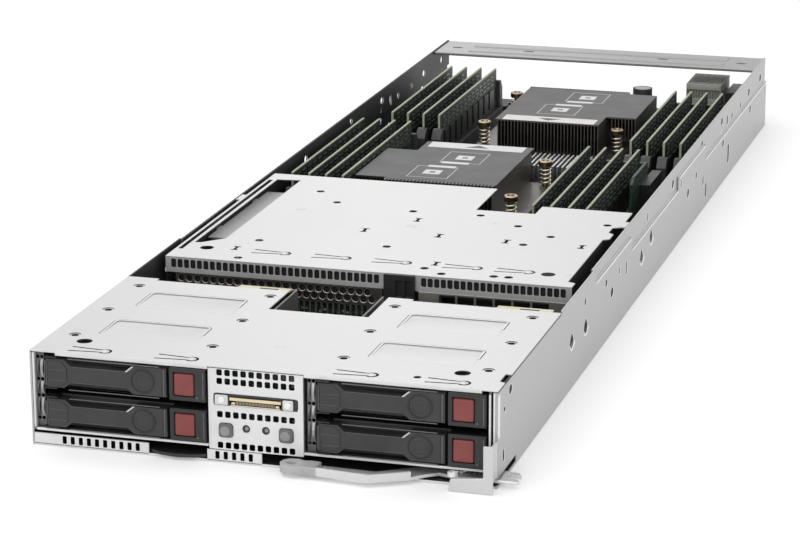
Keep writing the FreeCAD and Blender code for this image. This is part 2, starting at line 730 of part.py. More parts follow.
for index, (bay_x, bay_z) in enumerate(spots, start=1):
    carrier = new_body(f"carrier_{index}")
    pad(carrier, "XY", 0, size.carrier_height, [
        (0, bezel_face), (block_x, bezel_face), (block_x, bezel_front), (carrier_width, bezel_front),
        (carrier_width, drive_end), (carrier_width - size.rail_thick, drive_end),
        (carrier_width - size.rail_thick, size.bezel_back), (size.rail_thick, size.bezel_back),
        (size.rail_thick, drive_end), (0, drive_end)])
    for low in (0, size.carrier_height - size.lip_thick):
        pad(carrier, "XY", low, low + size.lip_thick,
            rectangle(0, hinge_x + 3.2, bezel_front + 0.4, bezel_face + 1))
        pocket(carrier, "XY", low, low + size.lip_thick,
               Disc(hinge_x, hinge_y, size.trunnion_radius + size.trunnion_play))
    key_half = size.button_width / 2 + size.button_play
    key_tall = size.button_height / 2 + size.button_play
    pocket(carrier, "XZ", bezel_front, key_end,
           rectangle(key_x - key_half, key_x + key_half, mid_height - key_tall, mid_height + key_tall))
    place(carrier, bay_x, front, bay_z)

    drive = new_body(f"drive_{index}")
    drive_top = drive_low + size.drive_height
    pad(drive, "XY", drive_low, drive_top, rectangle(drive_x, drive_x + size.drive_width, drive_start, drive_end))
    pocket(drive, "XY", drive_top - 0.8, drive_top,
           rectangle(drive_x + 4, drive_x + size.drive_width - 4, drive_end - 14, drive_end))
    place(drive, bay_x, front, bay_z)

    lever = new_body(f"carrier_lever_{index}")
    pad(lever, "XY", lip_room, lever_high, Disc(hinge_x, hinge_y, bar_round))
    pad(lever, "XY", lip_room, lever_high, rectangle(hinge_x, lever_end, bezel_front, lever_back))
    pocket(lever, "XZ", bezel_front, lever_back, [
        (grip_left, lever_high + 1), (grip_left, lever_high), (grip_left + size.grip_slope, notch_high),
        (grip_right - size.grip_slope, notch_high), (grip_right, lever_high), (grip_right, lever_high + 1)], [
        (grip_left, lip_room - 1), (grip_left, lip_room), (grip_left + size.grip_slope, notch_low),
        (grip_right - size.grip_slope, notch_low), (grip_right, lip_room), (grip_right, lip_room - 1)])
    for low, high in ((lip_room - size.lip_thick, lip_room + 1), (lever_high - 1, lever_high + size.lip_thick)):
        pad(lever, "XY", low, high, Disc(hinge_x, hinge_y, size.trunnion_radius))
    place(lever, bay_x, front, bay_z)

    release = new_body(f"release_button_{index}")
    half_wide, half_tall = size.button_width / 2, size.button_height / 2
    pad(release, "XZ", bezel_front - 0.3, key_end - size.button_travel - 0.5,
        rectangle(key_x - half_wide, key_x + half_wide, mid_height - half_tall, mid_height + half_tall))
    place(release, bay_x, front, bay_z)

# Card cage cover: lid with a stepped rear edge, a side window and slotted front flanges
riser_front = front + riser_start
riser_rear = front + riser_end
riser_half = inner - size.riser_side_gap
right_rear = front + right_bank_start - size.bank_clear
step_rear = right_rear - size.riser_step
clip_right = size.clip_left + size.clip_width
flange_low = top - size.riser_flange
cover = new_body("riser_cage_cover")
pad(cover, "XY", under_top, top, [
    (-riser_half, riser_front), (riser_half, riser_front), (riser_half, right_rear), (size.step_right, right_rear),
    (size.step_right, step_rear), (size.step_left, step_rear), (size.step_left, riser_rear),
    (-riser_half, riser_rear)])
window_left = -riser_half + 1.2
window_right = window_left + size.window_width
pocket(cover, "XY", under_top, top, [
    (window_left, riser_front + 26), (window_left + 5, riser_front + 24), (window_right, riser_front + 41),
    (window_right, riser_rear - 14), (window_left, riser_rear - 16)])
pad(cover, "XZ", riser_front, riser_front + size.sheet,
    rectangle(-riser_half, size.clip_left, flange_low, under_top + size.sheet / 2),
    rectangle(clip_right, riser_half, flange_low, under_top + size.sheet / 2))
SIDE_DEEP = 12
SIDE_SHORT = 4
pad(cover, "XY", under_top - SIDE_DEEP, under_top,
    rectangle(-riser_half, -riser_half + size.sheet, riser_front, riser_rear - SIDE_SHORT),
    rectangle(riser_half - size.sheet, riser_half, riser_front, right_rear - SIDE_SHORT))
# Tabs that reach the walls, slots along both flanges, holes and spring fingers
TAB_LONG = 10
tab_y = right_rear - 28
pad(cover, "XY", under_top, top,
    rectangle(riser_half - size.sheet, inner - size.band_depth, tab_y, tab_y + TAB_LONG),
    rectangle(-inner + size.band_depth, -riser_half + size.sheet, tab_y, tab_y + TAB_LONG))
LEFT_SLOTS = 32
RIGHT_SLOTS = 22
for x, count in ((-riser_half + 2.6, LEFT_SLOTS), (clip_right + 2.4, RIGHT_SLOTS)):
    slot = pocket(cover, "XZ", riser_front, riser_front + size.sheet,
                  rectangle(x, x + size.riser_slot_width, flange_low + 2.2, under_top - 0.2))
    repeat(cover, slot, count, size.riser_slot_pitch)
cover_holes = [(-87, 19, 3.4), (86, 19, 3.4), (-66, 38, 2.1), (-8, 112, 2.1), (26, 13, 2.1), (61, 66, 2.1)]
pocket(cover, "XY", under_top, top, *[Disc(x, riser_front + y, r) for x, y, r in cover_holes])
for x in (-63, -32, -1.5, 33.5, 59.5):
    pocket(cover, "XY", under_top, top, finger_slot(x, riser_front + 18))

# Plates under the flanges: a perforated one on the left and one with port windows on the right
MESH_ACROSS = 23
LOW_VENTS = 10
mesh = new_body("expansion_bracket")
mesh_left = -riser_half + 5
pad(mesh, "XZ", riser_front, riser_front + size.sheet,
    rectangle(mesh_left, size.clip_left - 1.5, board_top, flange_low))
mesh_x = mesh_left + 5
mesh_z = flange_low - size.mesh_radius - 0.6
for x, z in ((mesh_x, mesh_z), (mesh_x + size.mesh_pitch / 2, mesh_z - size.mesh_rise)):
    mesh_hole = pocket(mesh, "XZ", riser_front, riser_front + size.sheet, polygon(x, z, size.mesh_radius))
    repeat(mesh, mesh_hole, MESH_ACROSS, size.mesh_pitch)
low_vent_x = size.clip_left - 47
low_vent_z = board_top + 12.5
low_vent = pocket(mesh, "XZ", riser_front, riser_front + size.sheet,
                  rectangle(low_vent_x, low_vent_x + size.vent_width, low_vent_z, low_vent_z + size.vent_height))
repeat(mesh, low_vent, LOW_VENTS, size.lip_vent_pitch)

PORTS = 6
PORT_ROWS = 2
ports = new_body("port_bracket")
pad(ports, "XZ", riser_front, riser_front + size.sheet,
    rectangle(clip_right + 1.5, riser_half - size.sheet, board_top, flange_low))
port_x = clip_right + 11.5
port_z = flange_low - 10
port_hole = pocket(ports, "XZ", riser_front, riser_front + size.sheet,
                   rectangle(port_x, port_x + size.port_width, port_z, port_z + size.port_height))
repeat(ports, port_hole, PORTS, size.port_pitch, PORT_ROWS, size.port_rise)

# Dark clip that holds the two flanges together, with two sunk grips
CLIP_TALL = 14
clip = new_body("cage_clip")
clip_front = riser_front - size.clip_thick
pad(clip, "XY", top - CLIP_TALL, top, rectangle(size.clip_left, clip_right, clip_front, riser_front))
pocket(clip, "XZ", clip_front, clip_front + size.clip_thick / 2,
       *[rectangle(size.clip_left + x, size.clip_left + x + 3, top - 11, top - 3) for x in (6, 10.5)])

# Upright riser board between the two cards, and the cards that plug into it
CARD_LIFT = 13
HEAT_PLATE = 9
PLATE_GROOVES = 14
GROOVE_WIDE = 2.4
GROOVE_DEEP = 5
riser = new_body("riser_board")
card_front = riser_front + size.sheet
card_rear = step_rear - 10
pad(riser, "YZ", size.clip_left, size.clip_left + size.board_thick,
    rectangle(card_front + 4, step_rear - 4, board_top, flange_low - 2))
card_z = board_top + CARD_LIFT
plate_z = card_z + size.board_thick
card = new_body("expansion_card")
pad(card, "XY", card_z, plate_z, rectangle(-riser_half + 3, size.clip_left, card_front, card_rear))
heat_plate = new_body("card_heat_plate")
plate_front, plate_rear = card_front + 24, card_rear - 4
groove_x = -riser_half + 22
groove_pitch = (riser_half - 36.6) / PLATE_GROOVES
pad(heat_plate, "XY", plate_z, plate_z + HEAT_PLATE, rectangle(-riser_half + 3, -10, plate_front, plate_rear))
groove_cut = pocket(heat_plate, "XY", plate_z + HEAT_PLATE - GROOVE_DEEP, plate_z + HEAT_PLATE,
                    rectangle(groove_x, groove_x + GROOVE_WIDE, plate_front, plate_rear))
repeat(heat_plate, groove_cut, PLATE_GROOVES, groove_pitch)
PORT_BOX = 40
PORT_DEEP = 12
PORT_WALL = 2.5
network = new_body("network_card")
box_left, box_right = port_x - 1.5, port_x + size.port_pitch * PORTS + 2
pad(network, "XY", card_z, plate_z,
    rectangle(size.clip_left + size.board_thick, riser_half - 2, card_front, card_rear))
pad(network, "XY", plate_z, flange_low - 1, rectangle(box_left, box_right, card_front, card_front + PORT_BOX))
pocket(network, "XZ", card_front, card_front + PORT_DEEP,
       rectangle(box_left + PORT_WALL, box_right - PORT_WALL, flange_low - 10, flange_low - 2.2))

# System board on its standoffs
SCREW_HEAD = 3.0
board = new_body("system_board")
board_front = front + cage_depth + 19
board_half = inner - 3
pad(board, "XY", board_low, board_top, rectangle(-board_half, board_half, board_front, rear - 7))
pocket(board, "XY", board_low, board_top, *[Disc(x, y, BOARD_SCREW_RADIUS + 0.2) for x, y in board_screws_at])
screw = new_body("board_screw", keep=False)
pad(screw, "XY", -3, 0, Disc(0, 0, BOARD_SCREW_RADIUS))
pad(screw, "XY", 0, 2, polygon(0, 0, SCREW_HEAD))
group("board_screws", screw, [(x, y, board_top) for x, y in board_screws_at])

# Processor sockets and processors under the heatsinks
FRAME_HALF_X, FRAME_HALF_Y = 29, 33
FRAME_RIM = 5
FRAME_SINK = 1.5
CHIP_STEP = 0.5
CHIP_PLAY = 0.2
sinks = ((front_sink_x, front_sink_y), (rear_sink_x, rear_sink_y))
well_x, well_y = FRAME_HALF_X - FRAME_RIM, FRAME_HALF_Y - FRAME_RIM
chip_x, chip_y = well_x - CHIP_PLAY, well_y - CHIP_PLAY
frame = new_body("processor_socket", keep=False)
pad(frame, "XY", 0, size.socket_frame, rectangle(-FRAME_HALF_X, FRAME_HALF_X, -FRAME_HALF_Y, FRAME_HALF_Y))
pocket(frame, "XY", size.socket_frame - FRAME_SINK, size.socket_frame, rectangle(-well_x, well_x, -well_y, well_y))
group("processor_sockets", frame, [(x, y, board_top) for x, y in sinks])
chip = new_body("processor", keep=False)
pad(chip, "XY", -FRAME_SINK, CHIP_STEP, rectangle(-chip_x, chip_x, -chip_y, chip_y))
pad(chip, "XY", CHIP_STEP, size.processor_height, rectangle(-18, 18, -20, 20))
group("processors", chip, [(x, y, board_top + size.socket_frame) for x, y in sinks])

# Heatsinks: one pattern used twice, the rear one turned end for end
WIDE_FINS = 31
WING_FINS = 8
WING_LIFT = 5
SCREW_SIDES = 12
square = [(a, b) for a in (-size.sink_screw_half, size.sink_screw_half)
          for b in (-size.sink_screw_half, size.sink_screw_half)]
plate_under = size.sink_base + size.sink_fin_height
wide = size.sink_half_width
wing = -sink_reach
for label, (x, y), turn in (("heatsink_front", sinks[0], 0), ("heatsink_rear", sinks[1], 180)):
    sink = new_body(label)
    base = size.sink_base_half
    pad(sink, "XY", 0, size.sink_base, rectangle(-base, base, -base, base))
    pocket(sink, "XY", 0, size.sink_base,
           *[polygon(a, b, size.sink_screw_radius + size.sink_screw_play, SCREW_SIDES) for a, b in square])
    pad(sink, "XY", plate_under, plate_under + size.sink_plate, [
        (-wide, -size.sink_short_end), (wide, -size.sink_short_end), (wide, size.sink_long_end),
        (-wide, size.sink_long_end), (-wide, size.sink_wing_rear), (wing, size.sink_wing_rear),
        (wing, -size.sink_wing_front), (-wide, -size.sink_wing_front)])
    fin = pad(sink, "XY", size.sink_base, plate_under,
              rectangle(-wide, -wide + size.fin_thick, -size.sink_short_end, size.sink_long_end))
    repeat(sink, fin, WIDE_FINS, size.fin_pitch)
    wing_fin = pad(sink, "XY", size.sink_base + WING_LIFT, plate_under,
                   rectangle(wing, wing + size.fin_thick, -size.sink_wing_front, size.sink_wing_rear))
    repeat(sink, wing_fin, WING_FINS, size.fin_pitch)
    place(sink, x, y, sink_low, turn)
HEAD_TALL = 3
DRIVE_HALF = 1.4
corners = [(x + a, y + b) for x, y in sinks for a, b in square]
bolt = new_body("heatsink_screw", keep=False)
head_low = size.sink_screw_height - HEAD_TALL
pad(bolt, "XY", 0, size.sink_screw_height, polygon(0, 0, size.sink_screw_radius, SCREW_SIDES))
pad(bolt, "XY", head_low, size.sink_screw_height, polygon(0, 0, size.screw_head_radius, SCREW_SIDES))
pocket(bolt, "XY", size.sink_screw_height - DRIVE_HALF, size.sink_screw_height,
       rectangle(-DRIVE_HALF, DRIVE_HALF, -DRIVE_HALF, DRIVE_HALF))
group("heatsink_screws", bolt, [(x, y, board_top) for x, y in corners])
coil = new_body("heatsink_spring", keep=False)
coil_low = sink_low + size.sink_base - board_top
pad(coil, "XY", coil_low, head_low, polygon(0, 0, size.spring_radius, SCREW_SIDES))
pocket(coil, "XY", coil_low, head_low, polygon(0, 0, size.sink_screw_radius + 0.4, SCREW_SIDES))
group("heatsink_springs", coil, [(x, y, board_top) for x, y in corners])

# Small finned block on the board between the processors
BLOCK_FINS = 13
BLOCK_BASE = 4
BLOCK_TALL = 18
BLOCK_DEEP = 30
block = new_body("chipset_heatsink")
block_y = front_sink_y + size.sink_base_half + 12
block_left = front_sink_x + size.sink_half_width - 8
block_right = block_left + size.block_fin_pitch * (BLOCK_FINS - 1) + size.sheet
pad(block, "XY", board_top, board_top + BLOCK_BASE, rectangle(block_left, block_right, block_y, block_y + BLOCK_DEEP))
block_fin = pad(block, "XY", board_top + BLOCK_BASE, board_top + BLOCK_TALL,
                rectangle(block_left, block_left + size.sheet, block_y, block_y + BLOCK_DEEP))
repeat(block, block_fin, BLOCK_FINS, size.block_fin_pitch)

# Memory: sockets, latches and modules in four banks of four
MODULES = 4
CHIPS = 4
CHIP_HALF = 6.5
CHIP_THICK = 1.0
NOTCH_DEEP = 3.6
NOTCH_WIDE = 2.4
banks = [(front_left_x, left_bank_start), (rear_left_x, left_bank_start + bank_step),
         (front_right_x, right_bank_start), (rear_right_x, right_bank_start + bank_step)]
slots = [(x + size.module_pitch * index, front + y) for x, y in banks for index in range(MODULES)]
socket = new_body("memory_socket", keep=False)
socket_half = size.socket_width / 2
gap = size.module_thick / 2 + size.module_play
pad(socket, "YZ", -socket_half, socket_half,
    rectangle(-size.socket_end, size.module_length + size.socket_end, 0, size.socket_height))
pocket(socket, "YZ", -gap, gap,
       rectangle(-0.2, size.module_length + 0.2, size.module_seat, size.socket_height + 1))
group("memory_sockets", socket, [(x, y, board_top) for x, y in slots])
latch = new_body("memory_latch", keep=False)
latch_half = socket_half - 0.5
pad(latch, "YZ", -latch_half, latch_half, [
    (0.3, 0), (size.socket_end, 0), (size.socket_end, size.latch_height * 0.7),
    (size.socket_end * 0.5, size.latch_height), (0.3, size.latch_height)])
latch_z = board_top + size.socket_height
group("memory_latches", latch,
      [(x, y + size.module_length, latch_z) for x, y in slots] + [(x, y, latch_z, 180) for x, y in slots])
module = new_body("memory_module", keep=False)
thick = size.module_thick / 2
notch_at = size.module_length * 0.525
pad(module, "YZ", -thick, thick, [
    (0, 0), (notch_at, 0), (notch_at, NOTCH_DEEP), (notch_at + NOTCH_WIDE, NOTCH_DEEP), (notch_at + NOTCH_WIDE, 0),
    (size.module_length, 0), (size.module_length, size.module_height), (0, size.module_height)])
chip_pitch = size.module_length / CHIPS
for low, high in ((thick, thick + CHIP_THICK), (-thick - CHIP_THICK, -thick)):
    memory_chip = pad(module, "YZ", low, high,
                      rectangle(chip_pitch / 2 - CHIP_HALF, chip_pitch / 2 + CHIP_HALF, 13, 24))
    repeat(module, memory_chip, CHIPS, chip_pitch)
group("memory_modules", module, [(x, y, board_top + size.module_seat) for x, y in slots])

# Upright storage card by the right wall, with its dark carrier block
STORE_LONG = 41
STORE_TALL = 32.7
STORE_CORNER = 6
card_x = inner - 21.2
card_right = card_x + size.board_thick
store = new_body("storage_module")
store_y = front + right_bank_start + 67
store_top = board_top + STORE_TALL
pad(store, "YZ", card_x, card_right, [
    (store_y, board_top), (store_y + STORE_LONG, board_top), (store_y + STORE_LONG, store_top),
    (store_y + STORE_CORNER, store_top), (store_y, store_top - STORE_CORNER / 2)])
dark = new_body("storage_block")
pad(dark, "XY", board_top, board_top + 24.9,
    rectangle(card_right, card_right + 5.4, store_y + STORE_LONG / 2, store_y + STORE_LONG + 13))

# Connectors and a bulk capacitor along the board's rear edge
RIBS = 12
RIB_DEEP = 1.6
SOCKET_WALL = 2.5
SOCKET_FLOOR = 3
signal = new_body("rear_connector")
signal_right = inner - size.signal_inset
signal_left = signal_right - size.signal_width
signal_rear = rear - 5.4
signal_front = signal_rear - size.signal_length
signal_top = board_top + size.signal_height
pad(signal, "XY", board_top, signal_top, rectangle(signal_left, signal_right, signal_front, signal_rear))
rib = pocket(signal, "XZ", signal_front, signal_front + RIB_DEEP,
             rectangle(signal_left + 0.8, signal_left + 2, board_top + 4, signal_top - 3))
repeat(signal, rib, RIBS, size.rib_pitch)
pocket(signal, "XZ", signal_rear - 12, signal_rear,
       rectangle(signal_left + SOCKET_WALL, signal_right - SOCKET_WALL, board_top + SOCKET_FLOOR,
                 signal_top - SOCKET_WALL))
power = new_body("power_connector")
power_right = inner - size.power_inset
power_left = power_right - size.power_width
power_rear = rear - 6.4
power_top = board_top + size.power_height
pad(power, "XY", board_top, power_top,
    rectangle(power_left, power_right, power_rear - size.power_length, power_rear))
pocket(power, "XZ", power_rear - 10, power_rear,
       rectangle(power_left + 2, power_right - 2, board_top + SOCKET_FLOOR, power_top - SOCKET_WALL))
can = new_body("bulk_capacitor")
pad(can, "XY", board_top, board_top + size.can_height, Disc(rear_sink_x + 30, rear - 54, size.can_radius))

# Ejector at the lower front right: a fixed corner bracket, a pivot and the lever that turns on it
corner = new_body("ejector_bracket")
corner_front = front - size.corner_ahead
corner_left = half_width - size.corner_leg
foot_left = pivot_x - 1
pad(corner, "XZ", corner_front, corner_front + size.corner_sheet, [
    (foot_left, 0), (half_width, 0), (half_width, size.corner_height), (corner_left, size.corner_height),
    (corner_left, size.corner_foot + 1.4), (foot_left + 1, size.corner_foot)])
pad(corner, "YZ", half_width - size.corner_sheet, half_width,
    rectangle(corner_front, front, size.corner_foot, size.corner_height))
SHOULDER_GAP = 0.2
PIN_HEAD = 1.5
pin = new_body("ejector_pivot")
pad(pin, "XY", size.sheet, lever_top + 0.5, Disc(pivot_x, pivot_y, size.pivot_radius))
pad(pin, "XY", size.sheet, lever_low - SHOULDER_GAP, polygon(pivot_x, pivot_y, size.pivot_head))
pad(pin, "XY", lever_top + SHOULDER_GAP, lever_top + PIN_HEAD, Disc(pivot_x, pivot_y, size.pivot_head))
arm = new_body("ejector_lever")
tip_x = carrier_x[1] + 2.9
bend_x = tip_x + 24
neck_x = pivot_x - 18
hook_end = half_width + size.hook_reach
pad(arm, "XY", lever_low, lever_top, [
    (tip_x, front - 10.5), (bend_x, front - 13), (neck_x, front - 4.5), (neck_x + 5, front + 0.5),
    (pivot_x - 8, front + 4), (pivot_x, front + 1.5), (pivot_x + 9, front + 2.2), (hook_end, front + 1.8),
    (hook_end, front + 5.0), (half_width + 1, front + 5.5), (half_width + 1, front + 9.5),
    (hook_end, front + 9.5), (hook_end - 2, front + 13), (pivot_x + 11, front + 15), (pivot_x, front + 16.5),
    (pivot_x - 9, front + 14), (neck_x + 1, front + 10), (bend_x, front - 2), (tip_x, front - 1)])
RIM_THICK = 1.2
pad(arm, "XY", lever_top - 0.5, lever_top + size.lever_rim, [
    (tip_x, front - 10.5), (bend_x, front - 13), (neck_x, front - 4.5), (neck_x - 0.6, front - 4.5 + RIM_THICK),
    (bend_x - 0.2, front - 13 + RIM_THICK), (tip_x, front - 10.5 + RIM_THICK)])
pocket(arm, "XY", lever_low, lever_top, Disc(pivot_x, pivot_y, size.pivot_radius + size.pivot_play),
       rectangle(tip_x + 8, tip_x + 22, front - 8, front - 5))
TIP_DROP = 0.4
tip = new_body("ejector_tip")
pad(tip, "XY", lever_low - TIP_DROP, lever_top + 2.2, [
    (tip_x, front - 10.8), (tip_x, front - 0.8), (tip_x - 8, front - 0.5), (tip_x - 12.5, front - 2.5),
    (tip_x - 12.5, front - 7), (tip_x - 8, front - 10)])

# Pull-out tab under the left bay, sliding on the tray's floor
TAB_GAP = 0.5
TAB_LIFT = 0.3
TAB_THICK = 1.5
TAB_DEEP = 85
tab = new_body("pull_tab")
tab_left, tab_right = lip_strips[0][1] + TAB_GAP, lip_strips[1][0] - TAB_GAP
tab_mid = (tab_left + tab_right) / 2
pad(tab, "XY", size.sheet + TAB_LIFT, size.sheet + TAB_LIFT + TAB_THICK, [
    (tab_left, front + 1), (tab_left + 5, front - 1.6), (tab_mid, front - 2.8), (tab_right - 5, front - 1.6),
    (tab_right, front + 1), (tab_right, front + TAB_DEEP), (tab_left, front + TAB_DEEP)])

doc.recompute()
for item in doc.Objects:
    if "Invalid" in item.State or "Error" in item.State:
        raise RuntimeError(f"{item.Label} did not build: {item.State}")
    if item.TypeId == "PartDesign::Pocket" and item.Shape.Volume > item.BaseFeature.Shape.Volume - 0.001:
        raise RuntimeError(f"{item.Label} cuts nothing")
for node in nodes:
    if node.Shape.isNull() or not node.Shape.isValid():
        raise RuntimeError(f"{node.Label} has no valid shape")
os.makedirs("parts", exist_ok=True)
for node in nodes:
    node.Shape.exportStep(f"parts/{node.Label}.step")
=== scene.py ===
import bmesh
import bpy
import math
import random
from mathutils import Matrix, Vector


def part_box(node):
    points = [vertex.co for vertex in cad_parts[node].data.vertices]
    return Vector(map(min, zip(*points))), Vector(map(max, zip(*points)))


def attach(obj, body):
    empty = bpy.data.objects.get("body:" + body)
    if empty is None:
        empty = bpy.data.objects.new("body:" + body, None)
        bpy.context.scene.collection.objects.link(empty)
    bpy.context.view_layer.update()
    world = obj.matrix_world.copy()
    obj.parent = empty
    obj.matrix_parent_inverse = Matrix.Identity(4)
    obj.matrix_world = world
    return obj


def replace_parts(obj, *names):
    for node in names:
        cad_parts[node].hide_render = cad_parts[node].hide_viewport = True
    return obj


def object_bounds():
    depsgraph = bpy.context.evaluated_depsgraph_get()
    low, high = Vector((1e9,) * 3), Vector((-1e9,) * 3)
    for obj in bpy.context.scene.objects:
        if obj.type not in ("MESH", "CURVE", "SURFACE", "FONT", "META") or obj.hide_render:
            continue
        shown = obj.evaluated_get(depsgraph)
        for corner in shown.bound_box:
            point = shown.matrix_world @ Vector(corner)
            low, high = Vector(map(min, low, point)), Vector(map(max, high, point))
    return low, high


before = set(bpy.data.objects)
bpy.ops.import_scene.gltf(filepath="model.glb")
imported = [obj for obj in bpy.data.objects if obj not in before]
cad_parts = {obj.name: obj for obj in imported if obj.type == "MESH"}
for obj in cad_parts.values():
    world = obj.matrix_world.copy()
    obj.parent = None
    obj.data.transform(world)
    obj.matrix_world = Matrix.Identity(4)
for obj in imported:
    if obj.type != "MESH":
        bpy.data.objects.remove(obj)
cad_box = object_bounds()


# Tray: one long sheet of galvanised steel with both sides folded up.
# The sheet is bright, finely grained along its length and a little cloudy
# from rolling. Everything else is screwed or hooked into it.
def feed(tree, socket, value):
    """Gives a socket a link or a plain value."""
    if isinstance(value, bpy.types.NodeSocket):
        tree.links.new(value, socket)
    else:
        socket.default_value = value


def put(tree, kind, fixed=None, **feeds):
    """Adds a node with its settings and what goes into it."""
    made = tree.nodes.new(kind)
    for key, value in (fixed or {}).items():
        setattr(made, key, value)
    for key, value in feeds.items():
        feed(tree, made.inputs[key], value)
    return made


def count(tree, how, *terms):
    """Adds one sum of two or three values."""
    made = put(tree, "ShaderNodeMath", {"operation": how})
    for socket, term in zip(made.inputs, terms):
        feed(tree, socket, term)
    return made.outputs[0]


def tint(tree, amount, first, second):
    """Mixes two colours."""
    made = put(tree, "ShaderNodeMix", {"data_type": "RGBA"})
    for place, value in ((0, amount), (6, first), (7, second)):
        feed(tree, made.inputs[place], value)
    return made.outputs[2]


def between(tree, value, low, high):
    """Spreads the stretch from low to high over 0 to 1."""
    stretch = {"Value": value, "From Min": low, "From Max": high}
    return put(tree, "ShaderNodeMapRange", **stretch).outputs[0]


def where(tree, stretch=(1.0, 1.0, 1.0)):
    """Place on the object, stretched for a grain that runs one way."""
    spot = put(tree, "ShaderNodeTexCoord").outputs["Object"]
    return put(tree, "ShaderNodeMapping", Vector=spot, Scale=stretch).outputs[0]


def new_effect(name, takes):
    """Starts a surface effect that several finishes share."""
    group = bpy.data.node_groups.new(name, "ShaderNodeTree")
    for label, value in takes.items():
        kind = "NodeSocketFloat" if isinstance(value, float) else "NodeSocketColor"
        group.interface.new_socket(label, in_out="INPUT", socket_type=kind).default_value = value
    for label, kind in (("Colour", "Color"), ("Roughness", "Float"), ("Height", "Float")):
        group.interface.new_socket(label, in_out="OUTPUT", socket_type=f"NodeSocket{kind}")
    return group, group.nodes.new("NodeGroupInput").outputs, group.nodes.new("NodeGroupOutput").inputs


def new_finish(name, effect, values, bump, deep=0.0002, **plain):
    """Makes a finish from a surface effect and the shader's plain values."""
    made = bpy.data.materials.new(name)
    made.use_nodes = True
    tree = made.node_tree
    skin = put(tree, "ShaderNodeGroup", {"node_tree": effect}, **values).outputs
    relief = put(tree, "ShaderNodeBump", Strength=bump, Distance=deep, Height=skin["Height"])
    feeds = {"Base Color": skin["Colour"], "Roughness": skin["Roughness"], "Normal": relief.outputs[0]}
    for key, value in {**feeds, **plain}.items():
        feed(tree, tree.nodes["Principled BSDF"].inputs[key.replace("_", " ")], value)
    return made


def colour(tone):
    """A grey from one number, or a colour from three."""
    return (*tone, 1.0) if isinstance(tone, tuple) else (tone, tone, tone, 1.0)


rolled, given, made = new_effect("rolled_sheet", {"Pale": colour(0.8), "Deep": colour(0.6), "Rough": 0.4,
                                                  "Grain": 1.0})
tree = rolled
grain = put(tree, "ShaderNodeTexNoise", Vector=where(tree, (1.0, 0.05, 1.0)), Scale=1500.0, Detail=4.0)
cloud = put(tree, "ShaderNodeTexNoise", Vector=where(tree, (1.0, 0.6, 1.0)), Scale=16.0, Detail=4.0)
spangle = put(tree, "ShaderNodeTexVoronoi", Vector=where(tree), Scale=210.0)
flake = put(tree, "ShaderNodeSeparateColor", Color=spangle.outputs["Color"])
flecks = count(tree, "MULTIPLY", flake.outputs[0], 0.25)
worn = count(tree, "MULTIPLY_ADD", grain.outputs[0], given["Grain"], flecks)
tone = count(tree, "MULTIPLY_ADD", worn, 0.5, count(tree, "MULTIPLY", cloud.outputs[0], 0.45))
feed(tree, made["Colour"], tint(tree, between(tree, tone, 0.25, 0.85), given["Deep"], given["Pale"]))
rough = count(tree, "MULTIPLY_ADD", count(tree, "SUBTRACT", tone, 0.5), 0.25, given["Rough"])
feed(tree, made["Roughness"], rough)
feed(tree, made["Height"], worn)


def metal(name, pale, deep, rough, shine, bump=0.05, grain=1.0):
    """A rolled or turned metal between a pale and a deep tone."""
    values = {"Pale": colour(pale), "Deep": colour(deep), "Rough": rough, "Grain": grain}
    return new_finish(name, rolled, values, bump, Metallic=shine)


wall_steel = metal("wall_steel", 0.45, 0.38, rough=0.34, shine=0.85, bump=0.04)
# The near-black copy of the tray steel below is painted shade for the inner faces of the walls and the top of
# the floor.
wall_inside_shade = metal("wall_inside_shade", 0.075, 0.03, rough=0.5, shine=0.6)
# The near-white, barely metallic steel below is painted highlight on hole rims, the crescents under the
# drop-shaped holes, the ledges along the band and the wall's front fold; it is also the plain colour of the
# ejector spring and the connector posts.
pale_steel_and_highlight = metal("pale_steel_and_highlight", 0.93, 0.87, rough=0.3, shine=0.15, bump=0.03)
# The near-white, barely metallic copy of the tray steel below stands for its lit look on front faces and folds;
# on the drive cover it is painted highlight on beads, sunk-hole seats and the front lip.
lit_white_steel = metal("lit_white_steel", 0.82, 0.75, rough=0.4, shine=0.15, bump=0.03, grain=0.5)
# The near-black finish below is painted shade: it darkens the walls of cut holes and slots, seams and gaps, and
# plates set behind openings.
shade_black = metal("shade_black", 0.030, 0.012, rough=0.6, shine=0.3)


def circle(x, y, radius, steps=24, tall=None):
    """Points round a hole, or round a taller or flatter one."""
    tall = tall or radius
    return [(x + radius * math.cos(2 * math.pi * i / steps), y + tall * math.sin(2 * math.pi * i / steps))
            for i in range(steps)]


def long_hole(x, y, long, wide, upright=False):
    """Points round a hole with two straight sides and round ends."""
    half, radius = (long - wide) / 2, wide / 2
    points = []
    for step in range(9):
        angle = -math.pi / 2 + math.pi * step / 8
        points.append((half + radius * math.cos(angle), radius * math.sin(angle)))
    points += [(-a, -b) for a, b in points]
    return [(x - b, y + a) if upright else (x + a, y + b) for a, b in points]


def oblong(low, high):
    """Points round a rectangle."""
    return [low, (high[0], low[1]), high, (low[0], high[1])]


def rounded(low, high, radius):
    """Points round a rectangle with round corners."""
    points = []
    for cx, cy, start in ((high[0] - radius, high[1] - radius, 0), (low[0] + radius, high[1] - radius, 90),
                          (low[0] + radius, low[1] + radius, 180), (high[0] - radius, low[1] + radius, 270)):
        for step in range(5):
            angle = math.radians(start + 22.5 * step)
            points.append((cx + radius * math.cos(angle), cy + radius * math.sin(angle)))
    return points


def set_down(name, data):
    """Puts a form, lamp or camera into the scene."""
    made = bpy.data.objects.new(name, data)
    bpy.context.collection.objects.link(made)
    return made


def closest_on_line(spot, a, b):
    """Nearest point of a straight piece between two ends."""
    along = b - a
    share = max(0.0, min(1.0, (spot - a).dot(along) / max(along.length_squared, 1e-9)))
    return a + along * share


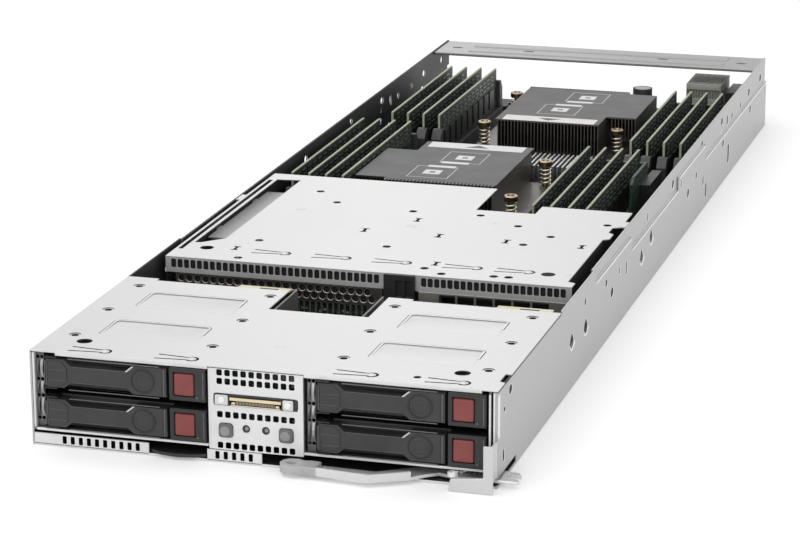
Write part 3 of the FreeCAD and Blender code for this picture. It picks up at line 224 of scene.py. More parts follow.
def cut_sheet(mesh, outlines, low, high, edge=0.1, way="flat", part=0, cut=None, rim=None):
    """Sheet metal between two levels, cut to its outline and holes, lying flat, facing the front or a side.
    It takes one finish of the piece; the walls of its holes and their rounded rims can take others."""
    low, high = sorted((low, high))
    curve = bpy.data.curves.new("cut", "CURVE")
    curve.dimensions = "2D"
    curve.fill_mode = "BOTH"
    curve.extrude = (high - low) / 2 - edge
    curve.bevel_depth = edge
    curve.bevel_resolution = 1
    curve.offset = -edge
    for points in outlines:
        spline = curve.splines.new("POLY")
        spline.points.add(len(points) - 1)
        for point, (x, y) in zip(spline.points, points):
            point.co = (x, y, 0, 1)
        spline.use_cyclic_u = True
    drawn = set_down("cut", curve)
    data = bpy.data.meshes.new_from_object(drawn.evaluated_get(bpy.context.evaluated_depsgraph_get()))
    bpy.data.objects.remove(drawn)
    bpy.data.curves.remove(curve)
    sheet = bmesh.new()
    sheet.from_mesh(data)
    sheet.normal_update()
    outer = [(Vector(a), Vector(b)) for a, b in zip(outlines[0], outlines[0][1:] + outlines[0][:1])]
    upright, flat, clear = 0.2, 0.95, 2 * edge + 0.05
    for face in sheet.faces:
        face.material_index = part
        level = abs(face.normal.z)
        spot = face.calc_center_median().to_2d()
        if level < flat and all((spot - closest_on_line(spot, a, b)).length > clear for a, b in outer):
            inner = cut if level < upright else rim
            face.material_index = part if inner is None else inner
    sheet.to_mesh(data)
    sheet.free()
    turned = {"flat": Matrix.Identity(4), "front": Matrix.Rotation(math.pi / 2, 4, "X"),
              "side": Matrix(((0, 0, 1, 0), (1, 0, 0, 0), (0, 1, 0, 0), (0, 0, 0, 1)))}[way]
    level = {"flat": (0, 0, 1), "front": (0, 1, 0), "side": (1, 0, 0)}[way]
    data.transform(Matrix.Translation(Vector(level) * (low + high) / 2) @ turned)
    mesh.from_mesh(data)
    bpy.data.meshes.remove(data)


def lance(y, z, long, tall):
    """Points round a drop-shaped hole, wide below."""
    return [(y + long * math.cos(a) * (0.7 - 0.3 * math.sin(a)), z + tall * math.sin(a))
            for a in [2 * math.pi * i / 20 for i in range(20)]]


def round_edges(made, wide, angle):
    """Takes the sharpness off all edges that turn by more than an angle."""
    soft = made.modifiers.new("round_edge", "BEVEL")
    soft.width = wide
    soft.segments = 2
    soft.limit_method = "ANGLE"
    soft.angle_limit = math.radians(angle)


millimetre = 0.001


def new_piece(name, mesh, finish, body, soften=0.0, smooth=False):
    """Turns a mesh drawn in millimetres into a piece that rides on a body."""
    bmesh.ops.recalc_face_normals(mesh, faces=mesh.faces)
    mesh.transform(Matrix.Scale(millimetre, 4))
    data = bpy.data.meshes.new(name)
    mesh.to_mesh(data)
    mesh.free()
    made = set_down(name, data)
    for one in finish if isinstance(finish, (list, tuple)) else [finish]:
        data.materials.append(one)
    if smooth:
        data.shade_smooth()
        data.set_sharp_from_angle(angle=math.radians(40))
    if soften:
        round_edges(made, soften * millimetre, 35)
    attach(made, body)
    return made


def sheet_piece(name, mesh, finish):
    """A piece of sheet steel, part of the tray or fixed to it."""
    return new_piece(name, mesh, finish, "tray", smooth=True)


def join_rings(mesh, rings, part=0, loop=None):
    """A form skinned over rings of points and closed at both ends.
    Where a loop of finishes is given, the last ring joins the first instead, with a finish for each stretch."""
    rings = [[mesh.verts.new(spot) for spot in ring] for ring in rings]
    steps = len(rings[0])
    others = rings[1:] + rings[:1] if loop else rings[1:]
    for ring, other, one in zip(rings, others, loop or [part] * len(others)):
        for step in range(steps):
            after = (step + 1) % steps
            mesh.faces.new((ring[step], ring[after], other[after], other[step])).material_index = one
    for end in () if loop else (rings[0][::-1], rings[-1]):
        mesh.faces.new(end).material_index = part


half_long, wall_inner, wall_outer, proud = 345, 104.5, 105.5, 105.75
wall_holes = [circle(y, z, long, 20, tall) for y, z, long, tall in (
    (-322.6, 37.2, 2.6, 2.0), (-332.8, 31.6, 1.5, 1.1), (-131.2, 29.7, 2.2, 1.7), (-117.7, 21.2, 3.2, 2.4),
    (-177.3, 33.6, 1.7, 1.8), (81.3, 21.2, 3.2, 2.4), (105.6, 25.4, 2.0, 2.2), (190.7, 24.0, 3.0, 1.9),
    (284.8, 23.5, 3.4, 2.1))]
wall_holes += [long_hole(y, z, tall, wide, True) for y, z, tall, wide in (
    (-334.0, 11.4, 5.6, 2.6), (-83.8, 24.2, 7.4, 2.4), (-100.2, 27.4, 4.0, 2.2), (127.4, 17.0, 6.4, 3.2),
    (61.0, 31.5, 4.6, 2.4), (209.1, 13.5, 11.5, 5.2), (137.0, 9.0, 9.0, 4.0))]
lances = ((-206.1, 23.1), (-176.5, 21.5), (-46.1, 19.7), (-22.0, 24.0))
band_holes = [circle(y, z, long, 20, tall) for y, z, long, tall in (
    (127.1, 38.6, 2.6, 1.6), (41.1, 36.4, 3.0, 2.2), (190.7, 37.0, 3.2, 2.0), (284.8, 34.0, 3.6, 2.2),
    (327.1, 34.1, 3.2, 2.4), (255.9, 32.6, 2.0, 2.1), (225.8, 32.6, 2.2, 2.1))]
band_holes += [long_hole(y, z, tall, wide, True) for y, z, tall, wide in (
    (-26.1, 35.4, 5.0, 2.6), (209.1, 33.4, 6.4, 4.0), (188.0, 31.6, 3.0, 1.6))]
ledge = ((104.3, -0.9), (proud, -0.9), (proud, -0.35), (104.55, 0.25), (104.3, 0.25))
ledges_at = ((-155.0, -73.0, 36.9), (-71.0, 51.0, 30.4), (54.0, 131.0, 36.9), (134.0, 344.0, 28.4))
arc = [math.radians(195 + 15 * step) for step in range(11)]
for side, name in ((-1, "left"), (1, "right")):
    mesh = bmesh.new()
    outline = [(-half_long, 0), (half_long, 0), (half_long, 28.5), (132.6, 28.5), (132.6, 37), (52.6, 37),
               (52.6, 30.5), (-72, 30.5), (-72, 37), (-156.6, 37), (-156.6, 43.5), (-226.7, 43.5),
               (-226.7, 42.5), (-half_long, 42.5)]
    if side > 0:
        outline += [(-half_long, 4.2), (-312, 4.2), (-312, 1.2), (-half_long, 1.2)]
    cuts = [outline] + wall_holes + [lance(y, z, 5.0, 3.6) for y, z in lances]
    # The walls of the wall's holes take the painted shade, and their rounded rims the painted highlight.
    cut_sheet(mesh, cuts, side * wall_inner, side * wall_outer, 0.25, "side", cut=3, rim=2)
    band = [(-157.6, 43.5), (-157.6, 35.9), (-73.1, 35.9), (-73.1, 29.4), (53.7, 29.4), (53.7, 35.9),
            (131.5, 35.9), (131.5, 27.4), (half_long, 27.4), (half_long, 43.5)]
    cut_sheet(mesh, [band] + band_holes, side * 103.3, side * 104.48, 0.25, "side", cut=3, rim=2)
    # Faces turned inwards, and the upward faces of the left wall, take the near-black copy as painted shade.
    mesh.normal_update()
    for face in mesh.faces:
        if side * face.normal.x < -0.5 or side < 0 and face.normal.z > 0.5 and face.material_index == 0:
            face.material_index = 1
    # Pale crescents under the drop-shaped holes are painted highlights.
    for y, z in lances:
        crescent = [(y + 5.9 * math.cos(a), z + 4.7 * math.sin(a)) for a in arc]
        crescent += [(y + 4.9 * math.cos(a), z + 3.5 * math.sin(a)) for a in arc[::-1]]
        cut_sheet(mesh, [crescent], side * 105.4, side * proud, 0.1, "side", 2)
    # The ledges along the band and the front fold carry painted highlights.
    for first, last, level in ledges_at:
        join_rings(mesh, [[(side * x, y, level + z) for x, z in ledge] for y in (first, last)], 2)
    front_fold = rounded((-344.8, 22.0), (-341.6, 41.2), 1.0)
    cut_sheet(mesh, [front_fold], side * 105.45, side * proud - 0.05, 0.12, "side", 2)
    wall_looks = [wall_steel, wall_inside_shade, pale_steel_and_highlight, shade_black]
    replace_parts(sheet_piece(f"tray_wall_{name}", mesh, wall_looks), "tray_base")

mesh = bmesh.new()
floor_cuts = [oblong((-wall_inner, -half_long), (wall_inner, half_long))]
floor_cuts += [long_hole(x, y, 26, 4) for x in (-60, 0, 60) for y in (290, 302, 314)]
cut_sheet(mesh, floor_cuts, 0.0, 1.0, 0.1)
# The floor's top and the walls of the lip's slots take the near-black copy as painted shade.
mesh.normal_update()
for face in mesh.faces:
    face.material_index = 1 if face.normal.z > 0.5 else 0
for left, right, first, number in ((-wall_inner, -51.0, -91.3, 10), (-24.0, 0.9, -20.3, 5)):
    lip = [oblong((left, 0.5), (right, 5.5))]
    lip += [rounded((first + 3.8 * i, 1.4), (first + 3.8 * i + 1.9, 4.9), 0.4) for i in range(number)]
    cut_sheet(mesh, lip, -half_long, 1 - half_long, 0.1, "front", cut=1)
# The front edges of the walls take the lit copy of the steel as painted highlight.
for left, right in ((-wall_inner, -103.4), (103.4, wall_inner)):
    cut_sheet(mesh, [rounded((left, -half_long), (right, -342.5), 0.45)], 8.0, 42.4, 0.2)
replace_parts(sheet_piece("tray_floor_and_lip", mesh, [lit_white_steel, wall_inside_shade]), "tray_base")


# Rear cross bar: a pressed strip of the same sheet that ties the two walls
# together at the back, with two long beads and a small front lip.
def dress(finish, round_edge, *nodes):
    """Gives solids their finish and a small round on their edges."""
    for node in nodes:
        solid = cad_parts[node]
        solid.data.materials.clear()
        solid.data.materials.append(finish)
        weld = solid.modifiers.new("weld", "WELD")
        weld.merge_threshold = 0.00001
        if round_edge:
            round_edges(solid, round_edge, 32)


bar_steel = metal("bar_steel", 0.36, 0.30, rough=0.36, shine=0.75, bump=0.04)
dress(bar_steel, 0.0004, "rear_cross_bar")


# System board: a long green circuit board on small posts, held by screws.
# Its mask shows faint tracks and rows of plated holes, and the free places
# between the large parts carry small chips, chokes and capacitors.
masked, given, made = new_effect("solder_mask", {"Mask": colour(0.02), "Track": colour(0.04),
                                                 "Dot": colour(0.4), "Rough": 0.42, "Dots": 1.0})
tree = masked
cells = put(tree, "ShaderNodeTexVoronoi", {"feature": "DISTANCE_TO_EDGE"},
            Vector=where(tree, (1.0, 0.45, 1.0)), Scale=260.0, Randomness=0.7)
track = between(tree, cells.outputs[0], 0.16, 0.05)
holes = put(tree, "ShaderNodeTexVoronoi", Vector=where(tree), Scale=330.0, Randomness=0.55)
dot = count(tree, "MULTIPLY", between(tree, holes.outputs[0], 0.24, 0.17), given["Dots"])
patch = put(tree, "ShaderNodeTexNoise", Vector=where(tree), Scale=42.0, Detail=3.0)
lines = count(tree, "MULTIPLY", track, between(tree, patch.outputs[0], 0.42, 0.62))
feed(tree, made["Colour"], tint(tree, dot, tint(tree, lines, given["Mask"], given["Track"]), given["Dot"]))
feed(tree, made["Roughness"], count(tree, "MULTIPLY_ADD", patch.outputs[0], 0.18, given["Rough"]))
feed(tree, made["Height"], count(tree, "ADD", lines, dot))

moulded, given, made = new_effect("moulded_skin", {"Tone": colour(0.04), "Worn": colour(0.06), "Rough": 0.5,
                                                   "Fine": 3200.0})
tree = moulded
pebble = put(tree, "ShaderNodeTexNoise", Vector=where(tree), Detail=2.0)
feed(tree, pebble.inputs["Scale"], given["Fine"])
rub = put(tree, "ShaderNodeTexNoise", Vector=where(tree), Scale=70.0, Detail=5.0)
handled = between(tree, rub.outputs[0], 0.42, 0.75)
feed(tree, made["Colour"], tint(tree, handled, given["Tone"], given["Worn"]))
rough = count(tree, "MULTIPLY_ADD", handled, -0.1, given["Rough"])
feed(tree, made["Roughness"], count(tree, "MULTIPLY_ADD", pebble.outputs[0], 0.16, rough))
feed(tree, made["Height"], pebble.outputs[0])


def circuit(name, mask, track, dot, dots=1.0, bump=0.2):
    """A lacquered circuit board: its mask, the tracks under it and plated dots."""
    values = {"Mask": colour(mask), "Track": colour(track), "Dot": colour(dot), "Dots": dots}
    return new_finish(name, masked, values, bump, 0.0001)


def plastic(name, tone, worn, rough, bump=0.2, fine=3200.0, **plain):
    """A moulded or printed skin with a second tone where it is rubbed."""
    values = {"Tone": colour(tone), "Worn": colour(worn), "Rough": rough, "Fine": fine}
    return new_finish(name, moulded, values, bump, **plain)


def corners(node):
    """Lowest and highest corner of a solid in millimetres."""
    return [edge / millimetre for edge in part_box(node)]


def add_block(mesh, low, high, part=0):
    """A block between two corners."""
    ends = list(zip(low, high))
    spots = [mesh.verts.new((x, y, z)) for x in ends[0] for y in ends[1] for z in ends[2]]
    for ring in ((0, 1, 3, 2), (4, 6, 7, 5), (0, 4, 5, 1), (2, 3, 7, 6), (0, 2, 6, 4), (1, 5, 7, 3)):
        mesh.faces.new([spots[i] for i in ring]).material_index = part


board_green = circuit("board_green", (0.010, 0.024, 0.014), (0.022, 0.050, 0.028), (0.34, 0.35, 0.27),
                      dots=0.7)
chip_black = plastic("chip_black", 0.012, 0.02, rough=0.4, bump=0.15)
solder_tin = metal("solder_tin", 0.72, 0.5, rough=0.3, shine=0.9)
screw_steel = metal("screw_steel", 0.7, 0.45, rough=0.28, shine=0.95)
dress(board_green, 0.0, "system_board")
dress(screw_steel, 0.0002, "board_screws")

board_top = corners("system_board")[1].z
taken = ((-68, -8, 36, 96), (-46, 155, 60, 260), (-103, -16, -60, 136), (-90, 136, -48, 288),
         (42, -48, 83, 104), (62, 104, 104, 256), (5, 98, 45, 132), (80, 26, 94, 86), (58, 303, 104, 345),
         (28, 283, 45, 299), (-103, -190, 103, -15))
throw = random.Random(11)
mesh = bmesh.new()
for row in range(64):
    for place in range(25):
        x = -97 + 8.1 * place + throw.uniform(-2, 2)
        y = -200 + 8.3 * row + throw.uniform(-2, 2)
        if y > 332 or any(a - 4 < x < c + 4 and b - 4 < y < d + 4 for a, b, c, d in taken):
            continue
        kind = throw.random()
        if kind < 0.12:
            add_block(mesh, (x - 3, y - 3, board_top), (x + 3, y + 3, board_top + 1.1))
            for pin in range(5):
                y1 = y - 2.5 + 1.2 * pin
                for low, high in ((x - 3.8, x - 2.9), (x + 2.9, x + 3.8)):
                    add_block(mesh, (low, y1, board_top), (high, y1 + 0.4, board_top + 0.5), 1)
        elif kind < 0.22:
            add_block(mesh, (x - 2.6, y - 2.6, board_top), (x + 2.6, y + 2.6, board_top + 3.2))
        else:
            add_block(mesh, (x - 1, y - 0.6, board_top), (x + 1, y + 0.6, board_top + 0.8))
            for low, high in ((x - 1.4, x - 0.95), (x + 0.95, x + 1.4)):
                add_block(mesh, (low, y - 0.6, board_top), (high, y + 0.6, board_top + 0.82), 1)
new_piece("board_small_parts", mesh, [chip_black, solder_tin], "tray", 0.12)


# Processors and heatsinks: two square processors in dark sockets, each under
# an aluminium heatsink with a grey printed top plate, pulled down by four
# brass screws with open coil springs under their heads.
socket_black = plastic("socket_black", 0.02, 0.035, rough=0.45)
lid_nickel = metal("lid_nickel", 0.75, 0.6, rough=0.25, shine=1.0, bump=0.04)
fin_metal = metal("fin_metal", (0.20, 0.185, 0.17), (0.10, 0.09, 0.085), rough=0.36, shine=0.85)
top_print = plastic("top_print", 0.125, 0.132, rough=0.6, bump=0.08, fine=1500.0)
white_print = plastic("white_print", 0.80, 0.72, rough=0.6, bump=0.05, fine=1500.0)
black_print = plastic("black_print", 0.006, 0.010, rough=0.7, bump=0.05, fine=1500.0)
screw_brass = metal("screw_brass", (0.47, 0.38, 0.25), (0.20, 0.15, 0.09), rough=0.27, shine=0.95)
spring_wire = metal("spring_wire", (0.70, 0.64, 0.54), (0.44, 0.39, 0.31), rough=0.24, shine=0.95, bump=0.03)
dress(socket_black, 0.0003, "processor_sockets")
dress(lid_nickel, 0.0004, "processors")
dress(fin_metal, 0.0, "heatsink_front", "heatsink_rear")


def add_outline(mesh, low, high, wide, z, tall, part):
    """A printed line round a rectangle."""
    for a, b in (((low[0], low[1]), (high[0], low[1] + wide)), ((low[0], high[1] - wide), (high[0], high[1])),
                 ((low[0], low[1] + wide), (low[0] + wide, high[1] - wide)),
                 ((high[0] - wide, low[1] + wide), (high[0], high[1] - wide))):
        add_block(mesh, (*a, z), (*b, z + tall), part)


sinks = []
plate, arrow = 0.06, ((-7, 41.0), (7, 41.0), (0.5, 46.6))
for name, way, left, ahead in (("front", 0, 48.6, 45.0), ("rear", math.pi, 45.0, 50.0)):
    low, high = corners(f"heatsink_{name}")
    sinks.append((low.x + left, low.y + ahead))
    mesh = bmesh.new()
    add_block(mesh, (-30.8, -37.2, 0), (30.8, 49.8, plate))
    add_block(mesh, (-48.4, -34.8, 0), (-30.8, 27.8, plate))
    for x, y, bar_x, bar_y in ((-0.5, 17.2, -2.6, 2.6), (-9.6, -18.0, -7.4, -7.2)):
        add_outline(mesh, (x - 11.4, y - 12.4), (x + 11.4, y + 12.4), 0.35, plate, 0.04, 1)
        add_outline(mesh, (x - 4.8, y - 4.6), (x + 4.8, y + 4.6), 3.2, plate, 0.06, 1)
        add_block(mesh, (bar_x - 8.0, bar_y, plate), (bar_x + 7.6, bar_y + 4.0, 0.14), 1)
    add_block(mesh, (-28.0, 37.5, plate), (27.0, 49.6, 0.12), 1)
    join_rings(mesh, [[(x, y, z) for x, y in arrow] for z in (0.12, 0.16)])
    for place in range(31):
        x = -30.8 + 2.0 * place
        add_block(mesh, (x + 0.7, -40.2, -0.9), (x + 1.9, -37.2, 0.05), 2)
    mesh.transform(Matrix.Translation((*sinks[-1], high.z)) @ Matrix.Rotation(way, 4, "Z"))
    new_piece(f"heatsink_label_{name}", mesh, [top_print, white_print, black_print], "tray")


def add_coil(mesh, centre, radius, wire, low, high, turns, around=14):
    """A wound wire."""
    rings = []
    for step in range(int(turns * around) + 1):
        angle = 2 * math.pi * step / around
        out = Vector((math.cos(angle), math.sin(angle), 0))
        rise = low + wire + (high - low - 2 * wire) * step / (turns * around)
        middle = Vector(centre) + out * radius + Vector((0, 0, rise))
        rings.append([middle + out * a + Vector((0, 0, b)) for a, b in circle(0, 0, wire, 6)])
    join_rings(mesh, rings)


def add_turned(mesh, centre, profile, steps=20, part=0, axis="z"):
    """A turned form: the profile's radii and heights swept round an axis."""
    rings = []
    for radius, height in profile:
        ring = [(x, y, height) for x, y in circle(0, 0, radius, steps)]
        if axis == "y":
            ring = [(x, height, y) for x, y, height in ring]
        rings.append([[a + b for a, b in zip(centre, spot)] for spot in ring])
    join_rings(mesh, rings, part)


screw_low, screw_high = [edge.z for edge in corners("heatsink_screws")]
spring_low, spring_high = [edge.z for edge in corners("heatsink_springs")]
screw = ((1.6, screw_low), (1.6, screw_high - 3.2), (3.6, screw_high - 3.2), (3.9, screw_high - 2.8),
         (3.9, screw_high - 0.5), (3.4, screw_high), (2.3, screw_high), (2.0, screw_high - 1.2))
screws, coils = bmesh.new(), bmesh.new()
for spot in [(cx + dx, cy + dy, 0) for cx, cy in sinks for dx in (-40, 40) for dy in (-40, 40)]:
    add_turned(screws, spot, screw, 24)
    add_coil(coils, spot, 3.0, 0.5, spring_low, spring_high, 4.5)
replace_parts(new_piece("heatsink_screws_turned", screws, screw_brass, "tray", smooth=True),
            "heatsink_screws")
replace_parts(new_piece("heatsink_springs_coiled", coils, spring_wire, "tray", smooth=True),
            "heatsink_springs")


# Memory: sixteen modules upright in black sockets with latches at both ends.
# Each is a thin green board with cream sawn edges, a row of black chips and
# rows of very small parts along its upper edge on both faces.
module_board = circuit("module_board", (0.008, 0.018, 0.010), (0.015, 0.034, 0.018), (0.20, 0.23, 0.16),
                       dots=0.8, bump=0.15)
sawn_edge = plastic("sawn_edge", (0.44, 0.45, 0.34), (0.34, 0.36, 0.26), rough=0.6, fine=2600.0)
module_chip = plastic("module_chip", 0.010, 0.018, rough=0.36, bump=0.12)
latch_grey = plastic("latch_grey", 0.035, 0.06, rough=0.42)
dress(socket_black, 0.0002, "memory_sockets")
dress(latch_grey, 0.0003, "memory_latches")

module_low, module_high = [edge.z for edge in corners("memory_modules")]
module_long, board_edge = 133.35, module_high - 0.5
for name, x0, y0 in (("front_left", -95.78, -6.4), ("rear_left", -83.75, 145.7), ("front_right", 46.24, -39.1),
                     ("rear_right", 66.06, 113.0)):
    mesh = bmesh.new()
    for number in range(4):
        x = x0 + 9.5 * number
        add_block(mesh, (x - 0.6, y0, module_low), (x + 0.6, y0 + module_long, board_edge))
        add_block(mesh, (x - 0.62, y0 - 0.02, board_edge), (x + 0.62, y0 + module_long + 0.02, module_high), 1)
        add_block(mesh, (x - 0.62, y0 - 0.06, module_low + 5), (x + 0.62, y0, board_edge), 1)
        for side in (-1, 1):
            face = x + 0.6 * side
            for chip in range(9):
                y = y0 + 8 + 13.2 * chip
                add_block(mesh, (face, y, module_high - 22.5),
                          (face + 0.95 * side, y + 9.5, module_high - 11.0), 2)
            for row in range(3):
                z = module_high - 3.4 - 2.6 * row
                for small in range(40):
                    y = y0 + 5 + 3.1 * small + (0.9 if row == 1 else 0.0)
                    add_block(mesh, (face, y, z), (face + 0.35 * side, y + 1.0, z + 0.6), 3 if small % 3 else 2)
    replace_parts(new_piece(f"memory_modules_{name}", mesh, [module_board, sawn_edge, module_chip, solder_tin],
                          "tray"), "memory_modules")


# Parts on the rear half of the board: a small finned block, an upright
# storage card with its dark socket block, a black can capacitor and the grey
# connectors that the node plugs in with.
small_fins = metal("small_fins", 0.66, 0.44, rough=0.3, shine=0.9)
connector_grey = plastic("connector_grey", (0.36, 0.36, 0.33), (0.42, 0.42, 0.38), rough=0.5)
plug_black = plastic("plug_black", 0.016, 0.03, rough=0.4, bump=0.15)
dress(small_fins, 0.0001, "chipset_heatsink")
dress(board_green, 0.0, "storage_module")
dress(chip_black, 0.0003, "storage_block")
dress(connector_grey, 0.0003, "rear_connector")
dress(plug_black, 0.0003, "power_connector")
dress(chip_black, 0.0004, "bulk_capacitor")
low, high = corners("bulk_capacitor")
cx, cy, top = (low.x + high.x) / 2, (low.y + high.y) / 2, high.z
mesh = bmesh.new()
add_turned(mesh, (cx, cy, top), ((5.2, 0.0), (5.2, 0.12), (4.9, 0.2), (1.0, 0.2)), 32)
add_block(mesh, (cx - 4.3, cy - 0.25, top + 0.2), (cx + 4.3, cy + 0.25, top + 0.28))
add_block(mesh, (cx - 0.25, cy - 4.3, top + 0.28), (cx + 0.25, cy + 4.3, top + 0.34))
new_piece("capacitor_top", mesh, solder_tin, "tray", 0.03)
low, high = corners("rear_connector")
mesh = bmesh.new()
add_block(mesh, (low.x + 1.2, low.y - 1.0, low.z), (high.x - 1.2, low.y, high.z - 9.0))
add_block(mesh, (low.x + 0.6, low.y - 0.5, high.z - 3.4), (high.x - 0.6, low.y, high.z - 1.2))
for place in range(10):
    x = low.x + 2.0 + 1.9 * place
    add_block(mesh, (x, low.y + 4, high.z), (x + 0.9, high.y - 8, high.z + 0.5))
new_piece("rear_connector_ribs", mesh, connector_grey, "tray", 0.15)


# Card cage: a riser board with two cards lies under a cut and folded cover.
# The cover has slotted front flanges, spring fingers, half-shear tongues and
# round holes; a perforated plate and a port plate close its front.
board_card = circuit("board_card", (0.012, 0.030, 0.018), (0.03, 0.06, 0.035), (0.4, 0.4, 0.3))
heat_plate = metal("heat_plate", 0.50, 0.42, rough=0.5, shine=0.2, bump=0.08)
plate_dark = metal("plate_dark", (0.15, 0.135, 0.12), (0.08, 0.07, 0.06), rough=0.4, shine=0.8)
port_steel = metal("port_steel", (0.60, 0.57, 0.53), (0.44, 0.41, 0.38), rough=0.36, shine=0.85)
clip_black = plastic("clip_black", 0.012, 0.022, rough=0.4, bump=0.15)
cover_steel = metal("cover_steel", 0.70, 0.63, rough=0.4, shine=0.4, bump=0.03)
flange_steel = metal("flange_steel", 0.66, 0.56, rough=0.4, shine=0.3, bump=0.03, grain=0.6)
dress(board_card, 0.0, "riser_board", "expansion_card")
dress(plug_black, 0.0, "network_card")
dress(heat_plate, 0.0004, "card_heat_plate")
dress(port_steel, 0.0002, "port_bracket")
dress(clip_black, 0.0004, "cage_clip")


def finger_slit(x, y):
    """Points round the narrow cut that frees a spring finger with a round tip."""
    neck, tip, sides = 13.0, 16.4, []
    for root, waist, radius in ((3.5, 2.3, 3.2), (2.3, 1.1, 2.0)):
        turn = [math.radians(140 - 35 * step) for step in range(9)]
        bow = [(tip + radius * math.cos(a), radius * math.sin(a)) for a in turn]
        sides.append([(0, root), (neck, waist)] + bow + [(neck, -waist), (0, -root)])
    return [(x + a, y + b) for a, b in sides[0] + sides[1][::-1]]


def add_dome(mesh, x, y, z, radius, tall):
    """A small pressed bump."""
    bulge = [(radius * math.cos(a), tall * math.sin(a)) for a in (0.0, 0.4, 0.8, 1.2, 1.5)]
    add_turned(mesh, (x, y, z), bulge)


low, high = corners("riser_cage_cover")
cover_top, skin, cage_front = high.z, 0.6, low.y
cuts = [[(-101, cage_front), (101, cage_front), (101, -181), (97.2, -179.5), (97.2, -103), (100.2, -101),
         (100.2, -92), (97.2, -90), (97.2, -80), (101, -78), (101, -49.6), (53.7, -49.6), (53.5, -64.7),
         (22.5, -64.7), (22.5, -20.5), (-101, -20.5)],
        [(-95.6, -161.5), (-92.5, -160.8), (-83, -150.6), (-83, -31), (-95.6, -32.3)],
        oblong((-99.6, -174), (-97.4, -34))]
cuts += [circle(x, y, 3.4) for x, y in ((-86.4, -169), (85.4, -170))]
cuts += [circle(x, y, 2.1) for x, y in (
    (-66, -149.6), (-65.8, -182), (-65.7, -50.4), (-50.7, -69.5), (-7.9, -76.2), (-2.1, -143.7), (26.1, -175.5),
    (36.3, -182.6), (27.5, -74.8), (50.8, -89.9), (61.5, -122.6), (71.2, -105), (93.7, -76.4), (61.4, -180.2),
    (68.5, -179.8))]
half = [(1.8, 3.4), (1.8, 2.1), (0.75, 2.1), (0.75, -2.1), (1.8, -2.1), (1.8, -3.4)]
tongue = half + [(-a, b) for a, b in half[::-1]]
cuts += [[(x + a, y + b) for a, b in tongue] for x, y in (
    (-72.4, -166.2), (-21.3, -117.5), (-0.9, -91.8), (17.3, -117.7), (29.2, -166.5), (52.1, -119.1),
    (90.1, -118.9))]
fingers, finger_row, finger_tip = (-62.7, -32.0, -1.6, 33.6, 59.3), -168.9, 16.2
cuts += [finger_slit(x, finger_row) for x in fingers]
mesh = bmesh.new()
# The walls of the cover's cuts take the painted shade.
cut_sheet(mesh, cuts, cover_top - skin, cover_top, cut=1)
for left, right, number in ((-101, 10, 32), (25, 101, 22)):
    pitch = (right - left - 5.0) / number
    vents = [oblong((left, 35.5), (right, cover_top - 0.3))]
    for place in range(number):
        x = left + 2.5 + pitch * (place + 0.5)
        vents.append(rounded((x - 1.25, 37.9), (x + 1.25, 42.2), 0.7))
    cut_sheet(mesh, vents, cage_front, cage_front + skin, 0.1, "front", 2, cut=1)
# Dark plates behind the vents are painted shade.
for left, right in ((-100, 9), (26, 100)):
    behind = rounded((left, 35.7), (right, cover_top - skin - 0.1), 0.5)
    cut_sheet(mesh, [behind], cage_front + 1.4, cage_front + 1.9, 0.1, "front", 1)
for x in fingers:
    add_dome(mesh, x + finger_tip, finger_row, cover_top - 0.05, 1.8, 0.5)
for x, y in ((-64.4, -87.9), (-0.7, -104.7), (36.8, -87.7), (93.7, -169.3)):
    add_dome(mesh, x, y, cover_top - 0.05, 2.6, 0.4)
# The side flanges take the painted shade, standing for the dark gap beside the cover.
for x0, x1, y0, y1 in ((-101, -100.4, cage_front + skin, -25), (96.6, 97.2, -182, -54)):
    add_block(mesh, (x0, y0, 30.5), (x1, y1, cover_top - skin), 1)
for x0, x1 in ((-103.2, -101), (101, 103.2)):
    add_block(mesh, (x0, -77.7, cover_top - skin), (x1, -67.7, cover_top))
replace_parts(sheet_piece("card_cage_cover", mesh, [cover_steel, shade_black, flange_steel]), "riser_cage_cover")
mesh = bmesh.new()
shelf = [(-99.4, -131.5), (-84, -131.5), (-84, -38.5), (-99.4, -38.5), (-99.4, -54), (-100.4, -54),
         (-100.4, -60), (-99.4, -60), (-99.4, -110), (-100.4, -110), (-100.4, -116), (-99.4, -116)]
cut_sheet(mesh, [shelf], 37.3, 38.0)
sheet_piece("card_cage_shelf", mesh, heat_plate)

low, high = corners("expansion_bracket")
cuts = [oblong((low.x, low.z), (high.x, high.z))]
for row, start in enumerate((low.x + 3.0, low.x + 5.05)):
    for place in range(24):
        cuts.append(circle(start + 4.1 * place, high.z - 2.5 - 3.5 * row, 1.65, 16))
for place in range(32):
    x = low.x + 5 + 2.9 * place
    cuts.append(rounded((x, high.z - 15.2), (x + 2.0, high.z - 9.2), 0.3))
mesh = bmesh.new()
# The walls of the holes take the painted shade and their rims the paler port steel as painted highlight; the
# plate behind the slots is painted shade.
cut_sheet(mesh, cuts, low.y, low.y + 0.8, 0.28, "front", cut=2, rim=1)
behind = rounded((low.x + 0.5, high.z - 8.2), (high.x - 0.5, high.z - 0.3), 0.5)
cut_sheet(mesh, [behind], low.y + 1.9, low.y + 2.4, 0.1, "front", 2)
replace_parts(sheet_piece("perforated_plate", mesh, [plate_dark, port_steel, shade_black]), "expansion_bracket")


